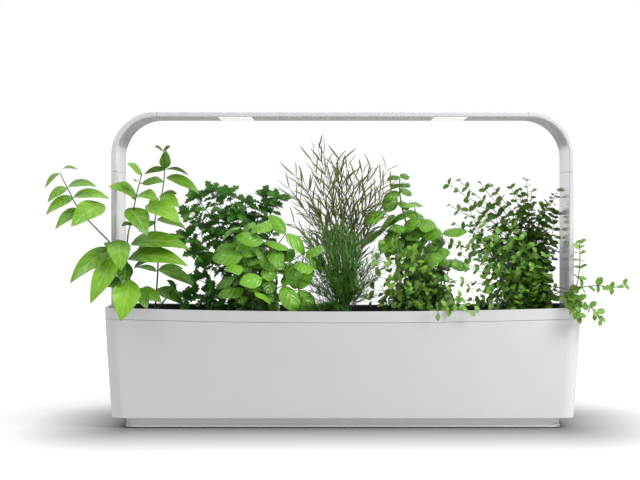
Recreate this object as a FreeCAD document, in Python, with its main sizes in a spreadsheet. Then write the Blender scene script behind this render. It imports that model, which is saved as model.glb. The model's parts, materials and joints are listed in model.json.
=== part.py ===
import FreeCAD, Part
import math
import os
import re
import Sketcher
from FreeCAD import Rotation, Vector

# Countertop hydroponic garden: a long planter with a water tank, ten planting places under one deck,
# and a light arch of flat band that stands in sockets at the two ends.
# Millimetres. X runs along the planter, front is -Y, Z is up, and the origin is the middle of the
# surface that the rubber feet stand on.

SIZES = {
    # casing: one shell with bowed sides, described at its bottom, its waist and its rim
    "casing_bottom": 13.0,
    "waist_height": 75.0,
    "rim_mid_height": 145.3,
    "rim_end_rise": 3.6,
    "bottom_half_length": 286.8,
    "bottom_corner_half_length": 285.0,
    "bottom_half_depth": 59.0,
    "bottom_end_half_depth": 57.5,
    "waist_half_length": 291.4,
    "waist_corner_half_length": 289.0,
    "waist_half_depth": 72.5,
    "waist_end_half_depth": 60.8,
    "rim_half_length": 295.2,
    "rim_corner_half_length": 292.4,
    "rim_half_depth": 85.0,
    "rim_end_half_depth": 63.0,
    "corner_radius": 18.0,
    "casing_wall": 2.5,
    "casing_floor": 3.0,
    # rim frame
    "rim_band": 14.0,
    "seam_gap": 0.4,
    "rim_wall": 3.4,
    "fit_gap": 0.3,
    "rim_tongue": 7.0,
    "tongue_wall": 1.8,
    "lip_width": 6.0,
    "lip_thickness": 2.5,
    # plinth, feet and screws
    "foot_rise": 1.2,
    "plinth_half_length": 268.3,
    "plinth_half_depth": 51.5,
    "plinth_radius": 14.0,
    "plinth_wall": 3.0,
    "plinth_flange": 0.9,
    "plinth_flange_height": 3.2,
    "foot_radius": 9.0,
    "foot_recess": 1.5,
    "foot_column": 240.0,
    "foot_row": 36.0,
    "screw_column": 190.0,
    "screw_row": 34.0,
    "boss_radius": 4.5,
    "screw_radius": 1.5,
    "screw_head_radius": 2.9,
    "screw_head_height": 2.0,
    "screw_length": 10.0,
    # deck and planting places
    "deck_height": 133.0,
    "deck_thickness": 3.0,
    "deck_gap": 0.5,
    "border_wall": 1.6,
    "border_drop": 0.8,
    "column_pitch": 120.0,
    "row_offset": 30.5,
    "stem_offset": 2.5,
    "cup_top_radius": 21.0,
    "cup_bottom_radius": 16.0,
    "cup_depth": 46.0,
    "cup_wall": 1.5,
    "cup_flange_radius": 27.0,
    "cup_flange_thickness": 1.6,
    "cup_clearance": 0.5,
    "cup_slot_width": 3.0,
    "cup_slot_height": 20.0,
    "plug_gap": 0.3,
    "plug_crown": 3.0,
    # tank
    "tank_half_length": 268.0,
    "tank_half_depth": 54.0,
    "tank_draft": 4.0,
    "tank_wall": 2.0,
    "tank_top": 126.0,
    "tank_radius": 14.0,
    # filler: opening, flap, chute and float
    "filler_column": 191.0,
    "filler_row": 28.0,
    "filler_half_width": 16.0,
    "filler_half_depth": 15.0,
    "flap_overlap": 3.0,
    "flap_thickness": 2.4,
    "chute_wall": 1.6,
    "chute_bottom": 24.0,
    "chute_slot": 6.0,
    "pin_radius": 1.2,
    "pin_clearance": 0.05,
    "knuckle_radius": 2.6,
    "knuckle_half_width": 12.0,
    "ear_width": 3.0,
    "float_radius": 11.0,
    "float_height": 16.0,
    "gauge_radius": 2.0,
    "gauge_height": 40.0,
    # pump, riser and manifold
    "pump_column": 60.0,
    "pump_half_length": 20.0,
    "pump_half_depth": 17.0,
    "pump_height": 28.0,
    "chamber_radius": 12.0,
    "chamber_floor": 5.0,
    "chamber_height": 14.0,
    "impeller_radius": 10.5,
    "impeller_height": 12.0,
    "impeller_hub_radius": 4.0,
    "blade_thickness": 1.0,
    "blade_count": 6.0,
    "shaft_radius": 1.5,
    "shaft_clearance": 0.06,
    "inlet_slot": 2.0,
    "nipple_radius": 4.0,
    "nipple_bore": 2.6,
    "nipple_length": 12.0,
    "riser_radius": 5.2,
    "manifold_radius": 5.0,
    "manifold_bore": 3.4,
    "manifold_half_length": 250.0,
    "nozzle_radius": 1.8,
    # light arch
    "arch_half_width": 285.5,
    "band_thickness": 6.4,
    "band_half_depth": 54.0,
    "band_edge": 1.6,
    "arch_height": 390.0,
    "elbow_radius": 54.0,
    "leg_joint_height": 316.3,
    "bar_joint": 229.3,
    "joint_gap": 0.3,
    "socket_depth": 45.0,
    "socket_floor": 3.0,
    "socket_clearance": 0.3,
    "socket_wall": 6.0,
    "spigot_thickness": 3.0,
    "spigot_half_depth": 45.0,
    "leg_spigot_depth": 20.0,
    "bar_spigot_depth": 14.0,
    "spigot_clearance": 0.2,
    # lamp windows
    "window_inner": 113.0,
    "window_outer": 154.4,
    "window_half_depth": 49.5,
    "window_proud": 1.0,
    "window_clearance": 0.2,
    "window_edge": 0.8,
    "diffuser_thickness": 2.2,
    "lamp_roof": 2.0,
    "board_thickness": 1.2,
    "led_size": 3.0,
    "led_height": 0.7,
    "led_rows": 6.0,
    "led_columns": 3.0,
    # connections in the back wall
    "bay_left": 62.0,
    "bay_right": 118.0,
    "bay_low": 44.0,
    "bay_high": 80.0,
    "bay_back": 58.0,
    "bay_wall": 2.5,
    "jack_column": 78.0,
    "jack_radius": 5.5,
    "jack_bore": 2.8,
    "jack_pin": 1.0,
    "jack_length": 7.5,
    "jack_floor": 1.5,
    "button_column": 102.0,
    "button_radius": 5.0,
    "button_proud": 4.0,
    "button_travel": 1.2,
    "button_stem_radius": 2.0,
    "board_length": 48.0,
    "board_height": 30.0,
    # plants
    "stem_radius": 1.3,
    "leaf_thickness": 1.6,
}

os.makedirs("parts", exist_ok=True)
doc = FreeCAD.newDocument("countertop_garden")
sheet = doc.addObject("Spreadsheet::Sheet", "Sizes")
sums = doc.addObject("Spreadsheet::Sheet", "Sums")
nodes = {}


def fill_sheet():
    """One row for each driving size: its name, and its value under that name as alias."""
    for row, (name, value) in enumerate(SIZES.items(), start=1):
        sheet.set(f"A{row}", name)
        sheet.set(f"B{row}", str(value))
        sheet.setAlias(f"B{row}", name)
    doc.recompute()


def size(name):
    """A driving size as a number."""
    return float(sheet.get(name))


def formula(text):
    """The same sum with each size's name pointing at its cell."""

    def cell(word):
        return "Sizes." + word.group() if word.group() in SIZES else word.group()

    return re.sub(r"[a-z_]+", cell, text)


def number(text):
    """The value of a sum of sizes, worked out in a cell of the second sheet."""
    sums.set("A1", "=" + formula(text))
    sums.recompute()
    return float(sums.get("A1"))


def box(name, x, y, z):
    """A block; each of x, y and z is a pair of sums, for its low and its high face."""
    block = doc.addObject("Part::Box", name)
    for length, axis, (low, high) in (("Length", "x", x), ("Width", "y", y), ("Height", "z", z)):
        block.setExpression(length, formula(f"({high}) - ({low})"))
        block.setExpression(f"Placement.Base.{axis}", formula(low))
    return block


TURNS = {
    "X": Rotation(Vector(0, 1, 0), 90),
    "Y": Rotation(Vector(1, 0, 0), -90),
    "Z": Rotation(),
}


def rod(name, radius, start, length, axis="Z"):
    """A cylinder from the point start along +axis; sizes and places are sums."""
    cylinder = doc.addObject("Part::Cylinder", name)
    cylinder.Placement.Rotation = TURNS[axis]
    cylinder.setExpression("Radius", formula(radius))
    cylinder.setExpression("Height", formula(length))
    for letter, place in zip("xyz", start):
        cylinder.setExpression(f"Placement.Base.{letter}", formula(place))
    return cylinder


def cut(name, base, tool):
    piece = doc.addObject("Part::Cut", name)
    piece.Base = base
    piece.Tool = tool
    return piece


def fuse(name, *shapes):
    piece = doc.addObject("Part::MultiFuse", name)
    piece.Shapes = list(shapes)
    return piece


def overlap(name, *shapes):
    piece = doc.addObject("Part::MultiCommon", name)
    piece.Shapes = list(shapes)
    return piece


def group(name, shapes):
    """Separate solids that share one node."""
    piece = doc.addObject("Part::Compound", name)
    piece.Links = list(shapes)
    return piece


def rounded(name, base, radius, wanted):
    """Fillets on the edges of base for which wanted says yes."""
    doc.recompute()
    piece = doc.addObject("Part::Fillet", name)
    piece.Base = base
    amount = size(radius)
    edges = enumerate(base.Shape.Edges, start=1)
    piece.Edges = [(index, amount, amount) for index, edge in edges if wanted(edge)]
    return piece


def upright(edge):
    """An edge that runs mostly along Z."""
    run = edge.Vertexes[-1].Point - edge.Vertexes[0].Point
    return abs(run.z) > 0.9 * run.Length > 0


def keep(name, piece):
    """Makes a piece one of the nodes, under its own name."""
    piece.Label = name
    nodes[name] = piece
    return piece


def origin_plane(body, role):
    return next(f for f in body.Origin.OriginFeatures if f.Role == role)


def polygon_sketch(body, name, role, points):
    """A closed outline of straight lines; every corner is tied to the origin by two sums."""
    sketch = body.newObject("Sketcher::SketchObject", name)
    sketch.AttachmentSupport = (origin_plane(body, role), [""])
    sketch.MapMode = "FlatFace"
    places = [Vector(number(x), number(y), 0) for x, y in points]
    for here, there in zip(places, places[1:] + places[:1]):
        sketch.addGeometry(Part.LineSegment(here, there), False)
    count = len(points)
    for index, (x, y) in enumerate(points):
        sketch.addConstraint(Sketcher.Constraint("Coincident", index, 2, (index + 1) % count, 1))
        for kind, text in (("DistanceX", x), ("DistanceY", y)):
            place = sketch.addConstraint(Sketcher.Constraint(kind, -1, 1, index, 1, number(text)))
            sketch.setExpression(f"Constraints[{place}]", formula(text))
    return sketch


# The casing's outside, which the rim, the deck, the sockets and the connector bay all follow


def level(height):
    """Half-lengths and half-depths at one height, on the parabola through bottom, waist and rim."""
    places = {
        "bottom": size("casing_bottom"),
        "waist": size("waist_height"),
        "rim": size("rim_mid_height"),
    }
    values = []
    for kind in ("half_length", "corner_half_length", "half_depth", "end_half_depth"):
        total = 0.0
        for place, here in places.items():
            share = 1.0
            for other, there in places.items():
                if other != place:
                    share *= (height - there) / (here - there)
            total += share * size(f"{place}_{kind}")
        values.append(total)
    return values


def corner_centre(front_back, front_radius, end_back, end_radius):
    """Centre of the corner circle that touches the front arc and the end arc from inside."""
    corner = size("corner_radius")
    front = Vector(0, -front_back, 0)
    end = Vector(-end_back, 0, 0)
    between = end - front
    gap = between.Length
    near = front_radius - corner
    far = end_radius - corner
    along = (near**2 - far**2 + gap**2) / (2 * gap)
    aside = math.sqrt(near**2 - along**2)
    unit = between / gap
    return front + unit * along + Vector(unit.y, -unit.x, 0) * aside


def outline(height, inset):
    """Closed outline at one height, moved inwards by inset: bowed sides and round corners."""
    length, corner_length, depth, end_depth = level(height)
    front_back = (corner_length**2 + end_depth**2 - depth**2) / (2 * (depth - end_depth))
    end_back = (corner_length**2 + end_depth**2 - length**2) / (2 * (length - corner_length))
    front_radius = depth + front_back
    end_radius = length + end_back
    centre = corner_centre(front_back, front_radius, end_back, end_radius)
    to_front = (centre + Vector(0, front_back, 0)).normalize()
    to_end = (centre + Vector(end_back, 0, 0)).normalize()
    on_front = Vector(0, -front_back, 0) + to_front * (front_radius - inset)
    on_end = Vector(-end_back, 0, 0) + to_end * (end_radius - inset)
    halfway = (to_front + to_end).normalize()
    on_corner = centre + halfway * (size("corner_radius") - inset)

    def place(point, right, back):
        return Vector(right * point.x, back * point.y, height)

    end_middle = Vector(length - inset, 0, 0)
    front_middle = Vector(0, depth - inset, 0)
    arcs = [
        (place(on_end, 1, -1), place(end_middle, 1, 1), place(on_end, 1, 1)),
        (place(on_end, 1, 1), place(on_corner, 1, 1), place(on_front, 1, 1)),
        (place(on_front, 1, 1), place(front_middle, 1, 1), place(on_front, -1, 1)),
        (place(on_front, -1, 1), place(on_corner, -1, 1), place(on_end, -1, 1)),
        (place(on_end, -1, 1), place(end_middle, -1, 1), place(on_end, -1, -1)),
        (place(on_end, -1, -1), place(on_corner, -1, -1), place(on_front, -1, -1)),
        (place(on_front, -1, -1), place(front_middle, 1, -1), place(on_front, 1, -1)),
        (place(on_front, 1, -1), place(on_corner, 1, -1), place(on_end, 1, -1)),
    ]
    return Part.Wire([Part.Arc(*points).toShape() for points in arcs])


def form(name, inset, low, high):
    """The casing's outside as a solid between two heights, moved inwards by inset."""
    piece = doc.addObject("Part::Feature", name)
    bottom = number(low)
    top = number(high)
    heights = (bottom, (bottom + top) / 2, top)
    wires = [outline(height, number(inset)) for height in heights]
    piece.Shape = Part.makeLoft(wires, True, False)
    return piece


def under_rim_line(name, drop):
    """Everything below the rim's dipping top line, lowered by drop."""
    reach = size("rim_half_length") + 60
    rise = size("rim_end_rise")
    radius = (size("rim_corner_half_length") ** 2 + rise**2) / (2 * rise)
    middle = size("rim_mid_height") - number(drop)
    side = middle + radius - math.sqrt(radius**2 - reach**2)
    depth = size("rim_half_depth") + 40
    floor = -20.0
    corners = [Vector(reach, -depth, side), Vector(reach, -depth, floor)]
    corners += [Vector(-reach, -depth, floor), Vector(-reach, -depth, side)]
    edges = [Part.LineSegment(a, b).toShape() for a, b in zip(corners, corners[1:])]
    edges.append(Part.Arc(corners[3], Vector(0, -depth, middle), corners[0]).toShape())
    piece = doc.addObject("Part::Feature", name)
    piece.Shape = Part.Face(Part.Wire(edges)).extrude(Vector(0, 2 * depth, 0))
    return piece


FORM_TOP = "rim_mid_height + rim_end_rise + 3"
TANK_FLOOR = "casing_bottom + casing_floor"
DECK_TOP = "deck_height + deck_thickness"
HINGE_Y = "filler_half_depth + flap_overlap + knuckle_radius + fit_gap - filler_row"
HINGE_Z = "deck_height + deck_thickness + fit_gap + knuckle_radius"
PUMP_BOTTOM = "casing_bottom + casing_floor + tank_wall"
PUMP_TOP = PUMP_BOTTOM + " + pump_height"
CHAMBER_BOTTOM = PUMP_BOTTOM + " + chamber_floor"
MANIFOLD_Z = "deck_height - fit_gap - manifold_radius"
LEG_BOTTOM = "deck_height + deck_thickness - socket_depth"
BAY_FACE = "bay_back + bay_wall"
JACK_START = ("jack_column", "bay_back - 1", "(bay_low + bay_high) * 0.5")
STEM_START = ("button_column", "bay_back - 1", "(bay_low + bay_high) * 0.5")


def mirrored_places(column, row):
    """Four places, one in each quarter."""
    return [(sx + column, sy + row) for sx in ("", "-") for sy in ("", "-")]


# Casing, rim and plinth


def outer_casing():
    outside = form("casing_outside", "0", "casing_bottom", FORM_TOP)
    inside = form("casing_inside", "casing_wall", "casing_bottom + casing_floor", FORM_TOP + " + 1")
    line = under_rim_line("casing_top_line", "rim_band")
    shell = cut("casing_shell", overlap("casing_block", outside, line), inside)
    opening = box(
        "bay_opening",
        ("bay_left - fit_gap", "bay_right + fit_gap"),
        ("bay_back", "rim_half_depth + 5"),
        ("bay_low - fit_gap", "bay_high + fit_gap"),
    )
    bosses = []
    pilots = []
    for index, (x, y) in enumerate(mirrored_places("screw_column", "screw_row")):
        start = (x, y, "foot_rise + plinth_wall + fit_gap")
        height = "casing_bottom - foot_rise - plinth_wall - fit_gap + 1"
        bosses.append(rod(f"casing_boss_{index}", "boss_radius", start, height))
        pilots.append(rod(f"casing_pilot_{index}", "screw_radius", start, "screw_length"))
    body = fuse("casing_with_bosses", cut("casing_with_opening", shell, opening), *bosses)
    keep("outer_casing", cut("casing", body, fuse("casing_pilots", *pilots)))


def rim_frame():
    outside = form("rim_outside", "0", "rim_mid_height - rim_band - 5", FORM_TOP)
    inside = form("rim_inside", "rim_wall", "rim_mid_height - rim_band - 6", FORM_TOP + " + 1")
    ring = cut("rim_ring", outside, inside)
    band = overlap("rim_band_block", ring, under_rim_line("rim_top_line", "0"))
    band = cut("rim_band_ring", band, under_rim_line("rim_seam_line", "rim_band - seam_gap"))
    tongue_low = "deck_height - lip_thickness - rim_tongue"
    tongue_top = "rim_mid_height - rim_band + rim_end_rise + 3"
    tongue = cut(
        "rim_tongue_ring",
        form("tongue_outside", "casing_wall + fit_gap", tongue_low, tongue_top),
        form(
            "tongue_inside",
            "casing_wall + fit_gap + tongue_wall",
            tongue_low + " - 1",
            tongue_top + " + 1",
        ),
    )
    lip = cut(
        "rim_lip_ring",
        form("lip_outside", "casing_wall + fit_gap", "deck_height - lip_thickness", "deck_height"),
        form(
            "lip_inside",
            "casing_wall + fit_gap + lip_width",
            "deck_height - lip_thickness - 1",
            "deck_height + 1",
        ),
    )
    clear = form("deck_space", "rim_wall", "deck_height", FORM_TOP)
    tongue = cut("rim_tongue_cut", tongue, clear)
    rim = fuse("rim_solid", band, tongue, lip)
    slots = []
    for side in ("", "-"):
        slots.append(leg_space(f"rim_leg_space{side}", side, "deck_height - 12", "deck_height + 5"))
    keep("rim_frame", cut("rim", rim, fuse("rim_leg_spaces", *slots)))


def leg_space(name, side, low, high):
    """The room that a leg needs on its way up, at the right end, or at the left with a minus sign."""
    inner = "arch_half_width - band_thickness - socket_clearance"
    outer = "arch_half_width + socket_clearance"
    faces = (inner, outer) if side == "" else (f"-({outer})", f"-({inner})")
    depth = "band_half_depth + socket_clearance"
    return box(name, faces, (f"-({depth})", depth), (low, high))


def plinth_block(name, grow, low, high):
    """A block with round upright edges, on the plinth's outline grown by a sum."""
    block = box(
        name + "_square",
        (f"-plinth_half_length - ({grow})", f"plinth_half_length + {grow}"),
        (f"-plinth_half_depth - ({grow})", f"plinth_half_depth + {grow}"),
        (low, high),
    )
    return rounded(name, block, "plinth_radius", upright)


def base_plinth():
    wall = plinth_block("plinth_wall_block", "0", "foot_rise", "casing_bottom")
    flange = plinth_block(
        "plinth_flange_block", "plinth_flange", "foot_rise", "foot_rise + plinth_flange_height"
    )
    hollow = plinth_block(
        "plinth_hollow", "-plinth_wall", "foot_rise + plinth_wall", "casing_bottom + 1"
    )
    body = cut("plinth_shell", fuse("plinth_outside", wall, flange), hollow)
    holes = []
    for index, (x, y) in enumerate(mirrored_places("screw_column", "screw_row")):
        low = "foot_rise - 1"
        clearance = "screw_radius + fit_gap"
        holes.append(rod(f"plinth_hole_{index}", clearance, (x, y, low), "plinth_wall + 2"))
        head = "screw_head_radius + fit_gap"
        depth = "screw_head_height + 1"
        holes.append(rod(f"plinth_head_hole_{index}", head, (x, y, low), depth))
    for index, (x, y) in enumerate(foot_places()):
        radius = "foot_radius + window_clearance"
        start = (x, y, "foot_rise - 1")
        holes.append(rod(f"plinth_foot_hole_{index}", radius, start, "foot_recess + 1"))
    keep("base_plinth", cut("plinth", body, fuse("plinth_holes", *holes)))


def foot_places():
    return mirrored_places("foot_column", "foot_row") + [("0", "foot_row"), ("0", "-foot_row"), ("0", "0")]


def rubber_feet():
    feet = []
    for index, (x, y) in enumerate(foot_places()):
        feet.append(rod(f"foot_{index}", "foot_radius", (x, y, "0"), "foot_rise + foot_recess"))
    keep("rubber_feet", group("feet", feet))


def plinth_screws():
    screws = []
    for index, (x, y) in enumerate(mirrored_places("screw_column", "screw_row")):
        base = "foot_rise"
        head = rod(f"screw_head_{index}", "screw_head_radius", (x, y, base), "screw_head_height")
        shank = rod(f"screw_shank_{index}", "screw_radius", (x, y, base), "screw_length")
        bit = doc.addObject("Part::Prism", f"screw_socket_{index}")
        bit.Polygon = 6
        bit.setExpression("Circumradius", formula("screw_radius"))
        bit.setExpression("Height", formula("screw_head_height * 0.6"))
        bit.setExpression("Placement.Base.x", formula(x))
        bit.setExpression("Placement.Base.y", formula(y))
        bit.setExpression("Placement.Base.z", formula(base))
        screws.append(cut(f"screw_{index}", fuse(f"screw_blank_{index}", head, shank), bit))
    keep("plinth_screws", group("screws", screws))


# Water tank


def tapered(name, inset, low, high):
    """A block that narrows downwards, on the tank's outline moved inwards by inset."""
    wedge = doc.addObject("Part::Wedge", name + "_square")
    top_x = f"(tank_half_length - {inset})"
    top_y = f"(tank_half_depth - {inset})"
    limits = {
        "Xmin": f"tank_draft - {top_x}",
        "Xmax": f"{top_x} - tank_draft",
        "Zmin": f"tank_draft - {top_y}",
        "Zmax": f"{top_y} - tank_draft",
        "X2min": f"-{top_x}",
        "X2max": top_x,
        "Z2min": f"-{top_y}",
        "Z2max": top_y,
        "Ymin": low,
        "Ymax": high,
    }
    for limit, text in limits.items():
        wedge.setExpression(limit, formula(text))
    wedge.Placement.Rotation = Rotation(Vector(1, 0, 0), 90)
    return rounded(name, wedge, "tank_radius", upright)


def reservoir_tank():
    outside = tapered("tank_outside", "0", TANK_FLOOR, "tank_top")
    inside = tapered("tank_inside", "tank_wall", TANK_FLOOR + " + tank_wall", "tank_top + 1")
    keep("reservoir_tank", cut("tank", outside, inside))


# Deck, planting places and filler


def cup_places():
    """Number, x and y of the ten planting places: five columns, front row first."""
    places = []
    for row, sign in enumerate(("-", "")):
        for column in range(5):
            places.append((5 * row + column + 1, f"{column - 2} * column_pitch", f"{sign}row_offset"))
    return places


def pod_deck():
    inset = "rim_wall + deck_gap"
    floor = form("deck_floor", inset, "deck_height", DECK_TOP)
    ring = cut(
        "deck_border_ring",
        form("deck_border_outside", inset, "deck_height", FORM_TOP),
        form("deck_border_inside", inset + " + border_wall", "deck_height - 1", FORM_TOP + " + 1"),
    )
    border = overlap("deck_border", ring, under_rim_line("deck_border_line", "border_drop"))
    ears = []
    for side in ("-", "+"):
        near = f"-filler_column {side} (knuckle_half_width + fit_gap)"
        far = f"-filler_column {side} (knuckle_half_width + fit_gap + ear_width)"
        faces = (far, near) if side == "-" else (near, far)
        depth = (f"{HINGE_Y} - knuckle_radius", f"{HINGE_Y} + knuckle_radius")
        ears.append(box(f"hinge_ear{side}", faces, depth, (DECK_TOP, HINGE_Z)))
        ears.append(rod(f"ear_top{side}", "knuckle_radius", (faces[0], HINGE_Y, HINGE_Z), "ear_width", "X"))
    holes = []
    for index, x, y in cup_places():
        start = (x, y, "deck_height - 1")
        radius = "cup_top_radius + cup_clearance"
        holes.append(rod(f"deck_hole_{index}", radius, start, "deck_thickness + 2"))
    holes.append(filler_block("filler_opening", "0", "deck_height - 1", DECK_TOP + " + 1"))
    holes.append(hinge_rod("ear_bore", "pin_radius + pin_clearance", "ear_width + 1"))
    for side in ("", "-"):
        holes.append(leg_space(f"deck_leg_space{side}", side, "deck_height - 1", FORM_TOP))
    body = fuse("deck_solid", floor, border, *ears)
    keep("pod_deck", cut("deck", body, fuse("deck_holes", *holes)))


def filler_block(name, grow, low, high):
    """A block on the filler opening's outline, grown by a sum."""
    return box(
        name,
        (f"-filler_column - filler_half_width - ({grow})", f"-filler_column + filler_half_width + {grow}"),
        (f"-filler_row - filler_half_depth - ({grow})", f"-filler_row + filler_half_depth + {grow}"),
        (low, high),
    )


def hinge_rod(name, radius, beyond):
    """A cylinder on the hinge line, as long as the knuckle and so much beyond it at both ends."""
    half = f"knuckle_half_width + fit_gap + {beyond}"
    start = (f"-filler_column - ({half})", HINGE_Y, HINGE_Z)
    return rod(name, radius, start, f"2 * ({half})", "X")


def filler_flap():
    bottom = DECK_TOP + " + fit_gap"
    plate = filler_block("flap_plate", "flap_overlap", bottom, bottom + " + flap_thickness")
    arm = box(
        "flap_arm",
        ("-filler_column - knuckle_half_width", "-filler_column + knuckle_half_width"),
        ("-filler_row + filler_half_depth", HINGE_Y),
        (bottom, bottom + " + flap_thickness"),
    )
    knuckle = rod(
        "flap_knuckle",
        "knuckle_radius",
        ("-filler_column - knuckle_half_width", HINGE_Y, HINGE_Z),
        "2 * knuckle_half_width",
        "X",
    )
    bore = hinge_rod("flap_bore", "pin_radius + pin_clearance", "1")
    keep("filler_flap", cut("flap", fuse("flap_solid", plate, arm, knuckle), bore))
    keep("filler_hinge_pin", hinge_rod("hinge_pin", "pin_radius", "ear_width"))


def filler_chute():
    top = "deck_height"
    outside = filler_block("chute_outside", "chute_wall", "chute_bottom", top)
    inside = filler_block("chute_inside", "0", "chute_bottom - 1", top + " + 1")
    slot = box(
        "chute_slot_block",
        (
            "-filler_column - filler_half_width - chute_wall - 1",
            "-filler_column + filler_half_width + chute_wall + 1",
        ),
        ("-filler_row - chute_slot * 0.5", "-filler_row + chute_slot * 0.5"),
        ("chute_bottom + chute_slot", "deck_height - 3 * chute_slot"),
    )
    keep("filler_chute", cut("chute", outside, fuse("chute_hollow", inside, slot)))


def level_float():
    bottom = TANK_FLOOR + " + tank_wall + fit_gap"
    start = ("-filler_column", "-filler_row", bottom)
    body = rod("float_body", "float_radius", start, "float_height")
    gauge = rod("float_gauge", "gauge_radius", start, "float_height + gauge_height")
    keep("level_float", fuse("float", body, gauge))


def net_cup(index, x, y):
    """A turned cup with a flange that hangs on the deck, and water slots round its lower half."""
    body = doc.addObject("PartDesign::Body", f"cup_{index}")
    profile = polygon_sketch(
        body,
        f"cup_profile_{index}",
        "XZ_Plane",
        [
            ("0", "-cup_depth"),
            ("cup_bottom_radius", "-cup_depth"),
            ("cup_top_radius", "0"),
            ("cup_flange_radius", "0"),
            ("cup_flange_radius", "cup_flange_thickness"),
            ("cup_top_radius - cup_wall", "cup_flange_thickness"),
            ("cup_top_radius - cup_wall", "0"),
            ("cup_bottom_radius - cup_wall", "cup_wall - cup_depth"),
            ("0", "cup_wall - cup_depth"),
        ],
    )
    turned = body.newObject("PartDesign::Revolution", f"cup_turned_{index}")
    turned.Profile = profile
    turned.ReferenceAxis = (profile, ["V_Axis"])
    turned.Angle = 360
    half = "cup_slot_width * 0.5"
    low = "2 * cup_slot_width - cup_depth"
    outline_of_slot = polygon_sketch(
        body,
        f"cup_slot_profile_{index}",
        "XZ_Plane",
        [
            (f"-{half}", low),
            (half, low),
            (half, low + " + cup_slot_height"),
            (f"-{half}", low + " + cup_slot_height"),
        ],
    )
    slot = body.newObject("PartDesign::Pocket", f"cup_slot_{index}")
    slot.Profile = outline_of_slot
    slot.setExpression("Length", formula("cup_top_radius + 1"))
    slots = body.newObject("PartDesign::PolarPattern", f"cup_slots_{index}")
    slots.Originals = [slot]
    slots.Axis = (profile, ["V_Axis"])
    slots.Angle = 360
    slots.Occurrences = 8
    body.Tip = slots
    for letter, text in zip("xyz", (x, y, DECK_TOP)):
        body.setExpression(f"Placement.Base.{letter}", formula(text))
    keep(f"net_cup_{index:02d}", body)


def grow_plug(index, x, y):
    """A foam plug that fills the cup and stands a little above the deck."""
    bottom = "cup_wall + plug_gap - cup_depth"
    plug = doc.addObject("Part::Cone", f"plug_{index}")
    plug.setExpression("Radius1", formula("cup_bottom_radius - cup_wall - plug_gap"))
    plug.setExpression("Radius2", formula("cup_top_radius - cup_wall - plug_gap"))
    plug.setExpression("Height", formula(f"plug_crown - ({bottom})"))
    for letter, text in zip("xyz", (x, y, f"{DECK_TOP} + {bottom}")):
        plug.setExpression(f"Placement.Base.{letter}", formula(text))
    keep(f"grow_plug_{index:02d}", plug)


# Pump, riser and drip manifold


def pump_housing():
    place = ("pump_column", "0")
    block = box(
        "pump_block",
        ("pump_column - pump_half_length", "pump_column + pump_half_length"),
        ("-pump_half_depth", "pump_half_depth"),
        (PUMP_BOTTOM, PUMP_TOP),
    )
    corners = rounded("pump_case", block, "boss_radius", upright)
    nipple = rod("pump_nipple", "nipple_radius", (*place, PUMP_TOP), "nipple_length")
    chamber_start = (*place, CHAMBER_BOTTOM)
    chamber = rod("pump_chamber", "chamber_radius", chamber_start, "chamber_height")
    bore = rod("pump_bore", "nipple_bore", chamber_start, "pump_height + nipple_length")
    inlets = []
    for index in range(-2, 3):
        middle = f"pump_column + {index} * 2 * inlet_slot"
        inlets.append(
            box(
                f"pump_inlet_{index}",
                (f"{middle} - inlet_slot * 0.5", f"{middle} + inlet_slot * 0.5"),
                ("-pump_half_depth - 1", "inlet_slot - chamber_radius * 0.5"),
                (f"{CHAMBER_BOTTOM} + inlet_slot", f"{CHAMBER_BOTTOM} + chamber_height - inlet_slot"),
            )
        )
    hollow = fuse("pump_hollow", chamber, bore, *inlets)
    shaft = rod("pump_shaft", "shaft_radius", chamber_start, "chamber_height - inlet_slot")
    shell = cut("pump_shell", fuse("pump_outside", corners, nipple), hollow)
    keep("pump_housing", fuse("pump", shell, shaft))


def pump_impeller():
    """A hub with straight blades, repeated round the shaft."""
    body = doc.addObject("PartDesign::Body", "impeller")
    hub_profile = body.newObject("Sketcher::SketchObject", "impeller_hub_profile")
    hub_profile.AttachmentSupport = (origin_plane(body, "XY_Plane"), [""])
    hub_profile.MapMode = "FlatFace"
    for name in ("impeller_hub_radius", "shaft_radius + shaft_clearance"):
        circle = hub_profile.addGeometry(Part.Circle(Vector(), Vector(0, 0, 1), number(name)), False)
        hub_profile.addConstraint(Sketcher.Constraint("Coincident", circle, 3, -1, 1))
        radius = hub_profile.addConstraint(Sketcher.Constraint("Radius", circle, number(name)))
        hub_profile.setExpression(f"Constraints[{radius}]", formula(name))
    hub = body.newObject("PartDesign::Pad", "impeller_hub")
    hub.Profile = hub_profile
    hub.setExpression("Length", formula("impeller_height"))
    half = "blade_thickness * 0.5"
    inner = "shaft_radius + shaft_clearance + blade_thickness"
    blade_profile = polygon_sketch(
        body,
        "impeller_blade_profile",
        "XY_Plane",
        [(inner, f"-{half}"), ("impeller_radius", f"-{half}"), ("impeller_radius", half), (inner, half)],
    )
    blade = body.newObject("PartDesign::Pad", "impeller_blade")
    blade.Profile = blade_profile
    blade.setExpression("Length", formula("impeller_height"))
    blades = body.newObject("PartDesign::PolarPattern", "impeller_blades")
    blades.Originals = [blade]
    blades.Axis = (blade_profile, ["N_Axis"])
    blades.Angle = 360
    blades.setExpression("Occurrences", formula("blade_count"))
    body.Tip = blades
    for letter, text in zip("xyz", ("pump_column", "0", CHAMBER_BOTTOM + " + fit_gap")):
        body.setExpression(f"Placement.Base.{letter}", formula(text))
    keep("pump_impeller", body)


def riser_tube():
    low = PUMP_TOP + " + fit_gap"
    start = ("pump_column", "0", low)
    length = f"{MANIFOLD_Z} - manifold_radius - fit_gap - ({low})"
    outside = rod("riser_outside", "riser_radius", start, length)
    inside = rod("riser_inside", "nipple_radius + shaft_clearance", start, length)
    keep("riser_tube", cut("riser", outside, inside))


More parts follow.
